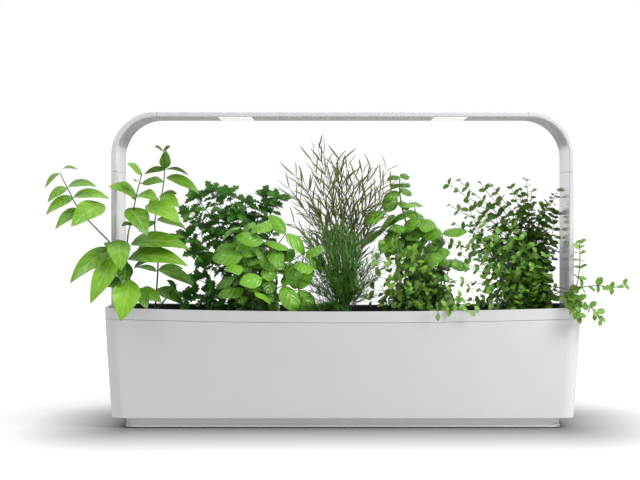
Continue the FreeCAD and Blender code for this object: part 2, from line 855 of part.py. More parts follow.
def drip_manifold():
    start = ("-manifold_half_length", "0", MANIFOLD_Z)
    pipe = rod("manifold_pipe", "manifold_radius", start, "2 * manifold_half_length", "X")
    bore_start = ("nozzle_radius - manifold_half_length", "0", MANIFOLD_Z)
    bore_length = "2 * (manifold_half_length - nozzle_radius)"
    bore = rod("manifold_bore_rod", "manifold_bore", bore_start, bore_length, "X")
    reach = "row_offset - cup_top_radius + fit_gap"
    nozzles = []
    for column in range(-2, 3):
        nozzle_start = (f"{column} * column_pitch", f"-({reach})", MANIFOLD_Z)
        nozzles.append(rod(f"nozzle_{column}", "nozzle_radius", nozzle_start, f"2 * ({reach})", "Y"))
    inlet_start = ("pump_column", "0", f"{MANIFOLD_Z} - manifold_radius - 1")
    inlet = rod("manifold_inlet", "nipple_bore", inlet_start, "manifold_radius + 1")
    body = fuse("manifold_solid", pipe, *nozzles)
    keep("drip_manifold", cut("manifold", body, fuse("manifold_hollow", bore, inlet)))


# Light arch


def leg_sockets():
    """A block at each end that holds a leg: open above, with a floor that the leg stands on."""
    inset = "casing_wall + fit_gap"
    low = f"{LEG_BOTTOM} - fit_gap - socket_floor"
    high = "deck_height - lip_thickness - rim_tongue - fit_gap"
    room = form("socket_room", inset, low, high)
    inner = "arch_half_width - band_thickness - socket_wall"
    depth = "band_half_depth + socket_clearance + spigot_thickness"
    sockets = []
    for side in ("", "-"):
        faces = (inner, "rim_half_length") if side == "" else ("-rim_half_length", f"-({inner})")
        block = box(f"socket_block{side}", faces, (f"-({depth})", depth), (low, high))
        solid = overlap(f"socket_solid{side}", block, room)
        space = leg_space(f"socket_space{side}", side, f"{LEG_BOTTOM} - fit_gap", high + " + 1")
        sockets.append(cut(f"socket{side}", solid, space))
    keep("leg_sockets", group("sockets", sockets))


def along(axis):
    """A test for straight edges that run along one axis."""

    def wanted(edge):
        run = edge.Vertexes[-1].Point - edge.Vertexes[0].Point
        return abs(getattr(run, axis)) > 0.999 * run.Length > 0

    return wanted


def side_pair(side, inner, outer):
    """Low and high sums of a stretch along X, at the right end, or mirrored with a minus sign."""
    return (inner, outer) if side == "" else (f"-({outer})", f"-({inner})")


def leg(name, side):
    """A flat band with rounded edges; a slot in its top takes the elbow's tongue."""
    faces = side_pair(side, "arch_half_width - band_thickness", "arch_half_width")
    depth = ("-band_half_depth", "band_half_depth")
    block = box(name + "_block", faces, depth, (LEG_BOTTOM, "leg_joint_height - joint_gap"))
    band = rounded(name + "_band", block, "band_edge", upright)
    slot = tongue_box(name + "_slot", side, "spigot_clearance", "1")
    keep(name, cut(name + "_piece", band, slot))


def tongue_box(name, side, grow, above):
    """The elbow's lower tongue, or the slot for it when grown by a clearance."""
    middle = "(arch_half_width - band_thickness * 0.5)"
    half = f"(spigot_thickness * 0.5 + {grow})"
    depth = f"(spigot_half_depth + {grow})"
    return box(
        name,
        side_pair(side, f"{middle} - {half}", f"{middle} + {half}"),
        (f"-{depth}", depth),
        (f"leg_joint_height - leg_spigot_depth - {grow}", f"leg_joint_height + {above}"),
    )


def bar_tongue_box(name, side, grow, beyond):
    """The elbow's upper tongue, or the slot for it in the bar's end."""
    middle = "(arch_height - band_thickness * 0.5)"
    half = f"(spigot_thickness * 0.5 + {grow})"
    depth = f"(spigot_half_depth + {grow})"
    return box(
        name,
        side_pair(side, f"bar_joint - bar_spigot_depth - {grow}", f"bar_joint + {beyond}"),
        (f"-{depth}", depth),
        (f"{middle} - {half}", f"{middle} + {half}"),
    )


def elbow(name, side):
    """A quarter bend of the band, with a tongue into the leg and one into the bar."""
    sign = "1" if side == "" else "-1"
    body = doc.addObject("PartDesign::Body", name + "_body")
    inner = "arch_half_width - band_thickness"
    points = [
        ("arch_half_width", "leg_joint_height"),
        ("arch_half_width", "arch_height"),
        ("bar_joint", "arch_height"),
        ("bar_joint", "arch_height - band_thickness"),
        (inner, "arch_height - band_thickness"),
        (inner, "leg_joint_height"),
    ]
    signed = [(f"{sign} * ({x})", z) for x, z in points]
    profile = polygon_sketch(body, name + "_profile", "XZ_Plane", signed)
    band = body.newObject("PartDesign::Pad", name + "_pad")
    band.Profile = profile
    band.Midplane = True
    band.setExpression("Length", formula("2 * band_half_depth"))
    doc.recompute()
    bends = (
        ("outer", "elbow_radius", "arch_half_width", "arch_height"),
        ("inner", "elbow_radius - band_thickness", inner, "arch_height - band_thickness"),
    )
    previous = band
    for label, radius, x, z in bends:
        spot = Vector(number(f"{sign} * ({x})"), 0, number(z))
        edges = [
            f"Edge{index}"
            for index, edge in enumerate(previous.Shape.Edges, start=1)
            if (edge.CenterOfMass - spot).Length < 0.01
        ]
        bend = body.newObject("PartDesign::Fillet", f"{name}_{label}_bend")
        bend.Base = (previous, edges)
        bend.setExpression("Radius", formula(radius))
        doc.recompute()
        previous = bend
    softened = body.newObject("PartDesign::Fillet", name + "_edges")
    softened.Base = (previous, rim_edges(previous.Shape))
    softened.setExpression("Radius", formula("band_edge"))
    body.Tip = softened
    lower = tongue_box(name + "_lower_tongue", side, "0", "1")
    upper = bar_tongue_box(name + "_upper_tongue", side, "0", "1")
    keep(name, fuse(name + "_piece", body, lower, upper))


def rim_edges(shape):
    """The edges of an elbow's front and back faces, without those at its two cut ends."""
    names = []
    depth = size("band_half_depth")
    for index, edge in enumerate(shape.Edges, start=1):
        on_face = all(abs(abs(v.Point.y) - depth) < 0.001 for v in edge.Vertexes)
        along_face = edge.Vertexes[0].Point.y * edge.Vertexes[-1].Point.y > 0
        middle = edge.CenterOfMass
        at_leg = abs(middle.z - size("leg_joint_height")) < 0.001
        at_bar = abs(abs(middle.x) - size("bar_joint")) < 0.001
        if on_face and along_face and not at_leg and not at_bar:
            names.append(f"Edge{index}")
    return names


def window_box(name, side, shrink, low, high):
    depth = f"(window_half_depth - {shrink})"
    faces = side_pair(side, f"window_inner + {shrink}", f"window_outer - {shrink}")
    return box(name, faces, (f"-{depth}", depth), (low, high))


def lamp_housing():
    half = "(bar_joint - joint_gap)"
    block = box(
        "bar_block",
        (f"-{half}", half),
        ("-band_half_depth", "band_half_depth"),
        ("arch_height - band_thickness", "arch_height"),
    )
    band = rounded("bar_band", block, "band_edge", along("x"))
    hollows = []
    for side in ("", "-"):
        low = "arch_height - band_thickness - 1"
        hollows.append(window_box(f"lamp_window{side}", side, "0", low, "arch_height - lamp_roof"))
        hollows.append(bar_tongue_box(f"bar_slot{side}", side, "spigot_clearance", "1"))
    wire = "(spigot_thickness * 0.5)"
    middle = "arch_height - band_thickness * 0.5"
    hollows.append(
        box(
            "lamp_wire_channel",
            (f"bar_spigot_depth - {half}", f"{half} - bar_spigot_depth"),
            (f"-{wire}", wire),
            (f"{middle} - {wire} * 0.5", f"{middle} + {wire} * 0.5"),
        )
    )
    keep("lamp_housing", cut("bar", band, fuse("bar_hollows", *hollows)))


def light_diffusers():
    bottom = "arch_height - band_thickness - window_proud"
    low_edge = size("arch_height") - size("band_thickness") - size("window_proud")
    plates = []
    for side in ("", "-"):
        name = f"diffuser{side}"
        top = bottom + " + diffuser_thickness"
        block = window_box(name + "_block", side, "window_clearance", bottom, top)

        def lower(edge):
            return all(abs(v.Point.z - low_edge) < 0.001 for v in edge.Vertexes)

        doc.recompute()
        plate = doc.addObject("Part::Chamfer", name)
        plate.Base = block
        amount = size("window_edge")
        edges = enumerate(block.Shape.Edges, start=1)
        plate.Edges = [(index, amount, amount) for index, edge in edges if lower(edge)]
        plates.append(plate)
    keep("light_diffusers", group("diffusers", plates))


def led_boards():
    boards = []
    top = "arch_height - lamp_roof - window_clearance"
    bottom = top + " - board_thickness"
    for side in ("", "-"):
        plate = window_box(f"led_plate{side}", side, "window_clearance", bottom, top)
        chips = []
        for row in range(int(size("led_rows"))):
            for column in range(int(size("led_columns"))):
                x = f"window_inner + (window_outer - window_inner) * {column + 0.5} / led_columns"
                y = f"window_half_depth * (2 * {row + 0.5} / led_rows - 1)"
                faces = side_pair(side, f"{x} - led_size * 0.5", f"{x} + led_size * 0.5")
                depth = (f"{y} - led_size * 0.5", f"{y} + led_size * 0.5")
                height = (f"{bottom} - led_height", bottom)
                chips.append(box(f"led_{side}{row}_{column}", faces, depth, height))
        boards.append(fuse(f"led_board{side}", plate, *chips))
    keep("led_boards", group("boards", boards))


# Connections in the back wall


def connector_bay():
    block = box(
        "bay_block",
        ("bay_left", "bay_right"),
        ("bay_back", "rim_half_depth + 5"),
        ("bay_low", "bay_high"),
    )
    low = "bay_low - 1"
    skin = form("bay_skin", "seam_gap", low, "bay_high + 1")
    recess = box(
        "bay_recess",
        ("bay_left + bay_wall", "bay_right - bay_wall"),
        (BAY_FACE, "rim_half_depth + 6"),
        ("bay_low + bay_wall", "bay_high - bay_wall"),
    )
    jack_hole = rod("jack_hole", "jack_radius + spigot_clearance", JACK_START, "bay_wall + 1", "Y")
    stem = rod("stem_hole", "button_stem_radius + spigot_clearance", STEM_START, "bay_wall + 2", "Y")
    body = cut("bay_solid", overlap("bay_outside", block, skin), recess)
    keep("connector_bay", cut("bay", body, fuse("bay_holes", jack_hole, stem)))


def control_board():
    middle = "(bay_left + bay_right) * 0.5"
    height = "(bay_low + bay_high) * 0.5"
    plate = box(
        "control_plate",
        (f"{middle} - board_length * 0.5", f"{middle} + board_length * 0.5"),
        ("bay_back - fit_gap - board_thickness", "bay_back - fit_gap"),
        (f"{height} - board_height * 0.5", f"{height} + board_height * 0.5"),
    )
    keep("control_board", plate)


def power_inlet():
    x, y, z = JACK_START
    start = (x, "bay_back - fit_gap", z)
    body = rod("jack_body", "jack_radius", start, "jack_length", "Y")
    bore_start = (x, "bay_back - fit_gap + jack_floor", z)
    bore = rod("jack_bore_rod", "jack_bore", bore_start, "jack_length", "Y")
    pin = rod("jack_pin_rod", "jack_pin", start, "jack_length - jack_floor", "Y")
    keep("power_inlet", fuse("jack", cut("jack_shell", body, bore), pin))


def power_button():
    x, y, z = STEM_START
    tip = "bay_back - fit_gap + button_travel + fit_gap"
    under = f"{BAY_FACE} + button_travel + fit_gap"
    stem = rod("button_stem", "button_stem_radius", (x, tip, z), f"{under} + 1 - ({tip})", "Y")
    cap = rod("button_cap", "button_radius", (x, under, z), "button_proud", "Y")
    edge_y = number(f"{under} + button_proud")
    soft = rounded("button_cap_soft", cap, "window_edge", lambda e: abs(e.CenterOfMass.y - edge_y) < 0.01)
    keep("power_button", fuse("button", stem, soft))


# Plants: one solid each, in places counted from the top of their own grow plug


def taper(start, end, thick, thin):
    """A round stem between two points."""
    run = end - start
    if thick == thin:
        return Part.makeCylinder(thick, run.Length, start, run)
    return Part.makeCone(thick, thin, run.Length, start, run)


def stem(points, radius):
    """A stem along a chain of points, with round joints."""
    parts = [taper(a, b, radius, radius) for a, b in zip(points, points[1:])]
    return parts + [Part.makeSphere(radius, point) for point in points[1:]]


def leaf(base, tip, width):
    """A thin leaf: a flat diamond from its stalk to its tip, thickest near the middle."""
    run = tip - base
    side = run.cross(Vector(0, 0, 1))
    if side.Length < 0.1 * run.Length:
        side = Vector(0, 1, 0)
    side = side.normalize() * (width / 2)
    up = side.cross(run).normalize() * (size("leaf_thickness") / 2)
    middle = base + run * 0.45
    ring = [base, middle + side, tip, middle - side, base]
    faces = []
    for crown in (middle + up, middle - up):
        for a, b in zip(ring, ring[1:]):
            faces.append(Part.Face(Part.makePolygon([a, b, crown, a])))
    return Part.makeSolid(Part.makeShell(faces))


def leaf_pairs(points, first, count, length, width, turned=0):
    """Pairs of leaves at even steps up a stem, each pair turned a quarter from the last."""
    leaves = []
    lengths = [(b - a).Length for a, b in zip(points, points[1:])]
    for index in range(count):
        share = first + (1 - first) * index / max(count - 1, 1)
        along = share * sum(lengths)
        piece = 0
        while along > lengths[piece] and piece < len(lengths) - 1:
            along -= lengths[piece]
            piece += 1
        spot = points[piece] + (points[piece + 1] - points[piece]) * (along / lengths[piece])
        angle = math.radians(90 * (index + turned))
        out = Vector(math.cos(angle), math.sin(angle), 0.35).normalize()
        opposite = Vector(-out.x, -out.y, out.z)
        leaves += [leaf(spot, spot + way * length, width) for way in (out, opposite)]
    return leaves


# Height and width of the rings of a rounded clump, as shares of its half-height and half-widths
CLUMP_RINGS = ((-1.0, 0.35), (-0.6, 0.8), (0.05, 1.0), (0.65, 0.78), (1.0, 0.3))
CLUMP_SIDES = 8


def clump(centre, reach):
    """A rounded clump of foliage, as wide, deep and high as twice its reach."""
    rings = []
    for height, share in CLUMP_RINGS:
        corners = []
        for index in range(CLUMP_SIDES + 1):
            angle = 2 * math.pi * (index % CLUMP_SIDES) / CLUMP_SIDES
            across = Vector(reach[0] * math.cos(angle), reach[1] * math.sin(angle), 0) * share
            corners.append(centre + across + Vector(0, 0, reach[2] * height))
        rings.append(Part.makePolygon(corners))
    return Part.makeLoft(rings, True, True)


def sprig(start, end, radius):
    """A leafy sprig: a spindle, widest at two fifths of its length."""
    middle = start + (end - start) * 0.4
    thin = size("stem_radius")
    return [taper(start, middle, thin, radius), taper(middle, end, radius, thin / 2)]


def plant(name, index, clumps=(), stems=(), pairs=(), sprigs=(), leaves=()):
    """Joins a plant's parts into one solid on its grow plug."""
    radius = size("stem_radius")
    parts = [Part.makeCylinder(3 * radius, 2 * radius)]
    for points in stems:
        parts += stem([Vector(*point) for point in points], radius)
    for points, *rest in pairs:
        parts += leaf_pairs([Vector(*point) for point in points], *rest)
    for start, end, width in sprigs:
        parts += sprig(Vector(*start), Vector(*end), width)
    for start, end, width in leaves:
        parts.append(leaf(Vector(*start), Vector(*end), width))
    for centre, reach in clumps:
        parts.append(clump(Vector(*centre), reach))
    x, y = next(place[1:] for place in cup_places() if place[0] == index)
    outwards = math.copysign(size("stem_offset"), number(y))
    piece = doc.addObject("Part::Feature", f"plant_{index}")
    piece.Shape = parts[0].multiFuse(parts[1:])
    piece.Placement.Base = Vector(number(x), number(y) + outwards, number(f"{DECK_TOP} + plug_crown"))
    keep(name, piece)


def broad_leaf_herbs():
    arching = [(0, 0, 0), (-14, -16, 34), (-34, -29, 62), (-58, -33, 92), (-95, -33, 146), (-114, -33, 172)]
    plant(
        "broad_leaf_herb_front",
        1,
        stems=[arching],
        pairs=[(arching, 0.52, 5, 30, 16, 1)],
        leaves=[
            ((-34, -29, 62), (-72, -37, 52), 24),
            ((-34, -29, 62), (-38, -40, -4), 20),
            ((-14, -16, 34), (-40, -28, 22), 18),
            ((-14, -16, 34), (12, -24, 52), 20),
        ],
    )
    tall = [(0, 0, 0), (-5, -6, 95), (4, -8, 150), (16, -10, 196)]
    second = [(0, 0, 0), (-12, -10, 40), (-14, -14, 110), (-10, -14, 180)]
    plant(
        "broad_leaf_herb_back",
        6,
        stems=[tall, second],
        pairs=[(tall, 0.25, 5, 34, 20, 0), (second, 0.3, 5, 22, 20, 1)],
    )


def parsley():
    plant(
        "parsley",
        7,
        stems=[[(0, 0, 0), (-10, 0, 40)], [(0, 0, 0), (20, 4, 50)]],
        clumps=[
            ((-34, 6, 44), (34, 26, 32)),
            ((14, 6, 50), (38, 30, 36)),
            ((-42, 6, 92), (30, 24, 34)),
            ((0, 8, 108), (34, 26, 38)),
            ((32, 22, 96), (24, 16, 36)),
            ((22, 20, 134), (18, 14, 20)),
        ],
    )


def basils():
    plant(
        "bush_basil",
        2,
        stems=[[(0, 0, 0), (4, -4, 40)], [(0, 0, 0), (40, -8, 14), (58, -14, 50)]],
        clumps=[
            ((-22, -12, 44), (24, 20, 22)),
            ((12, -8, 56), (34, 24, 32)),
            ((48, -18, 62), (30, 20, 26)),
            ((12, -10, 94), (28, 22, 26)),
            ((46, -14, 90), (20, 18, 18)),
        ],
    )
    tall = [(0, 0, 0), (-16, 5, 60), (-36, 12, 120), (-46, 12, 172)]
    plant(
        "tall_basil",
        9,
        stems=[tall],
        pairs=[(tall, 0.42, 5, 26, 22, 0)],
        clumps=[
            ((-46, 14, 100), (30, 16, 22)),
            ((-22, 6, 82), (24, 20, 20)),
            ((-42, 14, 128), (20, 14, 16)),
        ],
    )


def tarragon():
    tips = (
        (-91, -12, 122),
        (-76, -14, 148),
        (-58, -10, 158),
        (-42, 0, 182),
        (-30, 10, 204),
        (-12, -4, 176),
        (0, 10, 190),
        (20, 0, 176),
        (38, 12, 184),
        (50, -12, 150),
        (64, -14, 142),
    )
    sprigs = [((0, 0, 0), tip, 7) for tip in tips]
    plant("tarragon", 8, sprigs=sprigs, clumps=[((0, 4, 60), (30, 22, 44))])


def dill():
    plant(
        "dill",
        3,
        stems=[[(0, 0, 0), (0, 0, 30)]],
        clumps=[
            ((0, 2, 34), (34, 22, 30)),
            ((-8, 2, 70), (28, 20, 30)),
            ((14, 2, 64), (24, 20, 30)),
            ((-2, 2, 92), (16, 14, 20)),
        ],
    )


def creeping_thyme():
    plant(
        "creeping_thyme",
        4,
        stems=[[(0, 0, 0), (-20, -6, 30)], [(0, 0, 0), (8, -30, 22), (4, -50, 16)]],
        clumps=[
            ((-42, -4, 46), (32, 24, 34)),
            ((-12, -10, 32), (32, 22, 24)),
            ((18, -16, 36), (26, 22, 26)),
            ((2, -34, 20), (26, 16, 12)),
        ],
        leaves=[((2, -48, 18), (0, -60, -2), 22), ((34, -20, 24), (40, -58, 6), 14)],
    )


def oreganos():
    plant(
        "oregano_front",
        5,
        stems=[[(0, 0, 0), (-10, 0, 40)], [(0, 0, 0), (14, 0, 40)]],
        clumps=[
            ((-42, -4, 40), (34, 24, 30)),
            ((-2, -4, 42), (32, 26, 32)),
            ((-36, -2, 92), (38, 24, 36)),
            ((6, -2, 96), (28, 24, 36)),
        ],
        sprigs=[
            ((4, -6, 30), (46, -34, 34), 5),
            ((38, -28, 32), (58, -36, 88), 7),
            ((38, -28, 32), (106, -36, 40), 7),
            ((38, -28, 32), (74, -38, -4), 5),
        ],
    )
    plant(
        "oregano_back",
        10,
        stems=[[(0, 0, 0), (-24, 0, 60)], [(0, 0, 0), (10, 0, 60)]],
        clumps=[
            ((-46, 2, 78), (34, 26, 30)),
            ((-2, 2, 70), (32, 28, 42)),
            ((-78, 4, 118), (38, 26, 38)),
            ((-30, 4, 128), (38, 26, 34)),
            ((12, 4, 118), (22, 24, 34)),
        ],
        sprigs=[
            ((-92, 4, 130), (-106, 4, 166), 6),
            ((-70, 4, 140), (-66, 4, 172), 6),
            ((-40, 4, 140), (-38, 4, 170), 6),
            ((-8, 4, 140), (-10, 4, 172), 6),
        ],
    )


fill_sheet()
outer_casing()
rim_frame()
base_plinth()
rubber_feet()
plinth_screws()
reservoir_tank()
pod_deck()
filler_flap()
filler_chute()
level_float()
for place in cup_places():
    net_cup(*place)
    grow_plug(*place)
pump_housing()
pump_impeller()
riser_tube()
drip_manifold()
leg_sockets()
for side, name in (("-", "left"), ("", "right")):
    leg(name + "_leg", side)
    elbow(name + "_elbow", side)
lamp_housing()
light_diffusers()
led_boards()
connector_bay()
control_board()
power_inlet()
power_button()
broad_leaf_herbs()
parsley()
basils()
tarragon()
dill()
creeping_thyme()
oreganos()
doc.recompute()
faults = [thing.Name for thing in doc.Objects if "Invalid" in thing.State or "Error" in thing.State]
for name, piece in nodes.items():
    if piece.Shape.isNull() or not piece.Shape.isValid() or not piece.Shape.Solids:
        faults.append(name)
if faults:
    raise RuntimeError("these pieces failed: " + ", ".join(faults))

for name, piece in nodes.items():
    piece.Shape.exportStep(f"parts/{name}.step")
    solids = len(piece.Shape.Solids)
    print(f"{name}: {solids} solid(s), {piece.Shape.Volume / 1000:.1f} cubic centimetres")
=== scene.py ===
import json
import math
import random

import bmesh
import bpy
from bpy.props import FloatProperty, FloatVectorProperty, IntProperty, PointerProperty, StringProperty
from mathutils import Matrix, Vector


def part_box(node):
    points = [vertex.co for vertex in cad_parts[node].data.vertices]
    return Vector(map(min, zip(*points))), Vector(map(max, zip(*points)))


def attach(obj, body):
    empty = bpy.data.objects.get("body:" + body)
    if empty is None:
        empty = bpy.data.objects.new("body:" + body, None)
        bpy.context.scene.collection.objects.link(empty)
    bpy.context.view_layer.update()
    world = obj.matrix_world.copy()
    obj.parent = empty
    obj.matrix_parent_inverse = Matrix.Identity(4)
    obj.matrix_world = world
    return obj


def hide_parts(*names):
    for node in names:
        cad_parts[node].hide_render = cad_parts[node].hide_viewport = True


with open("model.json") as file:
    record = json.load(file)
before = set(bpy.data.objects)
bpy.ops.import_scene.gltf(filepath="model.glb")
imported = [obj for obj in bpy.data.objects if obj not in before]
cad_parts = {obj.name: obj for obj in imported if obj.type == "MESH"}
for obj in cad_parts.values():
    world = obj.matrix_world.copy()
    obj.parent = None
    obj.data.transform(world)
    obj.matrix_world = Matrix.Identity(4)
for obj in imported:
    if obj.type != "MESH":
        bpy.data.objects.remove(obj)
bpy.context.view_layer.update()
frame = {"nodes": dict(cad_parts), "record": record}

bl_info = {
    "name": "Countertop hydroponic garden",
    "version": (1, 0, 0),
    "blender": (4, 5, 0),
    "location": "View3D > Sidebar > Garden",
    "description": "Grows the herbs and gives every piece of the garden its finish",
    "category": "Object",
}

MM = 0.001
WHITE = (1.0, 1.0, 1.0, 1.0)
RIPPLE = 0.0002  # how deep moulded grain and rubber bloom go, in metres
STEM_SHIFT = 2.5  # how far the stems stand outside the middle of their plug, in millimetres


# Colours and nodes

def linear(code):
    """Turns an sRGB hex colour into the linear RGBA that shaders take."""
    channels = [int(code[i:i + 2], 16) / 255 for i in (0, 2, 4)]
    return tuple(c / 12.92 if c <= 0.04045 else ((c + 0.055) / 1.055) ** 2.4 for c in channels) + (1.0,)


def add(tree, kind, inputs=None, **settings):
    """Adds a node with its settings, and sets or links its inputs."""
    node = tree.nodes.new(kind)
    for key, value in settings.items():
        setattr(node, key, value)
    for socket, value in (inputs or {}).items():
        if isinstance(value, bpy.types.NodeSocket):
            tree.links.new(value, node.inputs[socket])
        else:
            node.inputs[socket].default_value = value
    return node


def blank(name):
    """An empty material with its output node."""
    material = bpy.data.materials.new(name)
    material.use_nodes = True
    tree = material.node_tree
    tree.nodes.clear()
    return material, tree, add(tree, "ShaderNodeOutputMaterial")


def surface(tree, output, inputs):
    """Puts the one shader on the output."""
    shader = add(tree, "ShaderNodeBsdfPrincipled", inputs)
    tree.links.new(shader.outputs[0], output.inputs["Surface"])


def shade_between(tree, factor, low, high):
    """A colour that goes from low to high with a factor."""
    return add(tree, "ShaderNodeMix", {0: factor, 6: low, 7: high}, data_type="RGBA").outputs[2]


def vector_math(tree, operation, inputs):
    """The vector that an operation makes of its inputs."""
    return add(tree, "ShaderNodeVectorMath", inputs, operation=operation).outputs[0]


def spread(tree, value, low, high, start=0.0, end=1.0):
    """A number moved from the range start to end into the range low to high."""
    inputs = {"Value": value, "From Min": start, "From Max": end, "To Min": low, "To Max": high}
    return add(tree, "ShaderNodeMapRange", inputs).outputs[0]


# Finishes

def moulded(name, code, roughness, grain, depth, uneven=0.03, coat=0.0):
    """Moulded plastic: one colour, a fine texture taken from the mould, and gloss that varies a little.

    The grain is in millimetres. The colour drifts by a few percent over some centimetres, as flow in the
    mould leaves it.
    """
    material, tree, output = blank(name)
    where = add(tree, "ShaderNodeTexCoord").outputs["Object"]
    texture = add(tree, "ShaderNodeTexNoise", {"Vector": where, "Scale": 1 / (grain * MM), "Detail": 2.0})
    flow = add(tree, "ShaderNodeTexNoise", {"Vector": where, "Scale": 14.0, "Detail": 3.0})
    colour = linear(code)
    darker = tuple(c * (1 - uneven * 2) for c in colour[:3]) + (1.0,)
    bump = add(tree, "ShaderNodeBump", {"Height": texture.outputs[0], "Strength": depth * 5, "Distance": RIPPLE})
    surface(tree, output, {
        "Base Color": shade_between(tree, flow.outputs[0], darker, colour),
        "Roughness": spread(tree, flow.outputs[0], roughness - 0.05, roughness + 0.05, 0.3, 0.7),
        "Normal": bump.outputs[0],
        "IOR": 1.5,
        "Coat Weight": coat,
        "Coat Roughness": 0.12,
    })
    return material


def ribbed_plinth():
    """Matt ABS with fine horizontal draw lines, about one every 2.2 millimetres up the plinth, with painted shade
    in each groove.
    """
    material, tree, output = blank("matt_abs_ribbed_plinth")
    where = add(tree, "ShaderNodeTexCoord").outputs["Object"]
    height = add(tree, "ShaderNodeSeparateXYZ", {0: where}).outputs[2]
    lines = add(tree, "ShaderNodeMath", {0: height, 1: 2 * math.pi / (2.2 * MM)}, operation="MULTIPLY")
    wave = add(tree, "ShaderNodeMath", {0: lines.outputs[0]}, operation="SINE")
    level = spread(tree, wave.outputs[0], 0.0, 1.0, -1.0, 1.0)
    bump = add(tree, "ShaderNodeBump", {"Height": level, "Strength": 0.35, "Distance": 0.0004})
    # Painted shade: the colour is darker in each groove and lighter on each crest of the lines
    surface(tree, output, {
        "Base Color": shade_between(tree, level, linear("C2C2C4"), linear("D2D2D4")),
        "Roughness": 0.5,
        "Normal": bump.outputs[0],
    })
    return material


def steel():
    """Stainless steel, turned: bright, with fine rings that stretch the highlights."""
    material, tree, output = blank("turned_stainless_steel")
    where = add(tree, "ShaderNodeTexCoord").outputs["Object"]
    rings = add(tree, "ShaderNodeTexNoise", {"Vector": where, "Scale": 2500.0, "Detail": 2.0})
    surface(tree, output, {
        "Base Color": linear("C4C5C7"),
        "Metallic": 1.0,
        "Roughness": spread(tree, rings.outputs[0], 0.22, 0.4),
    })
    return material


def rubber(name, code):
    """Soft moulded rubber or silicone: no sharp highlight, with a dusty bloom in patches."""
    material, tree, output = blank(name)
    where = add(tree, "ShaderNodeTexCoord").outputs["Object"]
    bloom = add(tree, "ShaderNodeTexNoise", {"Vector": where, "Scale": 180.0, "Detail": 5.0})
    colour = linear(code)
    dusty = tuple(min(1.0, c * 1.3 + 0.01) for c in colour[:3]) + (1.0,)
    bump = add(tree, "ShaderNodeBump", {"Height": bloom.outputs[0], "Strength": 0.15, "Distance": RIPPLE})
    surface(tree, output, {
        "Base Color": shade_between(tree, bloom.outputs[0], colour, dusty),
        "Roughness": 0.75,
        "Normal": bump.outputs[0],
    })
    return material


def circuit_board():
    """Solder-masked glass epoxy board: green lacquer over paler copper tracks on a 2.5 millimetre grid."""
    material, tree, output = blank("green_solder_mask_board")
    where = add(tree, "ShaderNodeTexCoord").outputs["Object"]
    tracks = add(tree, "ShaderNodeTexBrick", {
        "Vector": where, "Color1": linear("0F5A33"), "Color2": linear("0C4C2B"), "Mortar": linear("2E8A55"),
        "Scale": 1 / (5 * MM), "Mortar Size": 0.06,
    })
    surface(tree, output, {
        "Base Color": tracks.outputs[0],
        "Roughness": spread(tree, tracks.outputs[1], 0.3, 0.45),
        "Coat Weight": 0.4,
    })
    return material


def opal_diffuser():
    """Opal acrylic over the light boards: white, evenly lit, with a faint lens grid of 1.5 millimetres."""
    material, tree, output = blank("opal_acrylic_diffuser")
    where = add(tree, "ShaderNodeTexCoord").outputs["Object"]
    lenses = add(tree, "ShaderNodeTexVoronoi", {"Vector": where, "Scale": 1 / (1.5 * MM), "Randomness": 0.0})
    hollow = spread(tree, lenses.outputs[0], 0.0, 1.0, 0.0, 0.7)
    surface(tree, output, {
        "Base Color": shade_between(tree, hollow, linear("FFFFFF"), linear("F2F3F5")),
        "Roughness": 0.3,
        "Emission Color": WHITE,
        "Emission Strength": 0.45,
    })
    return material


def wet_foam():
    """Grow medium: peat-brown foam with open pores of about a millimetre, and paler crumbs on it."""
    material, tree, output = blank("peat_grow_foam")
    where = add(tree, "ShaderNodeTexCoord").outputs["Object"]
    pores = add(tree, "ShaderNodeTexVoronoi", {"Vector": where, "Scale": 1 / (1.1 * MM)})
    crumbs = add(tree, "ShaderNodeTexNoise", {"Vector": where, "Scale": 420.0, "Detail": 6.0})
    pale = spread(tree, crumbs.outputs[0], 0.0, 1.0, 0.4, 0.7)
    soil = shade_between(tree, pale, linear("1E140C"), linear("4A3524"))
    bump = add(tree, "ShaderNodeBump", {"Height": pores.outputs[0], "Strength": 0.9, "Distance": 0.0012})
    surface(tree, output, {"Base Color": soil, "Roughness": 0.85, "Normal": bump.outputs[0]})
    return material


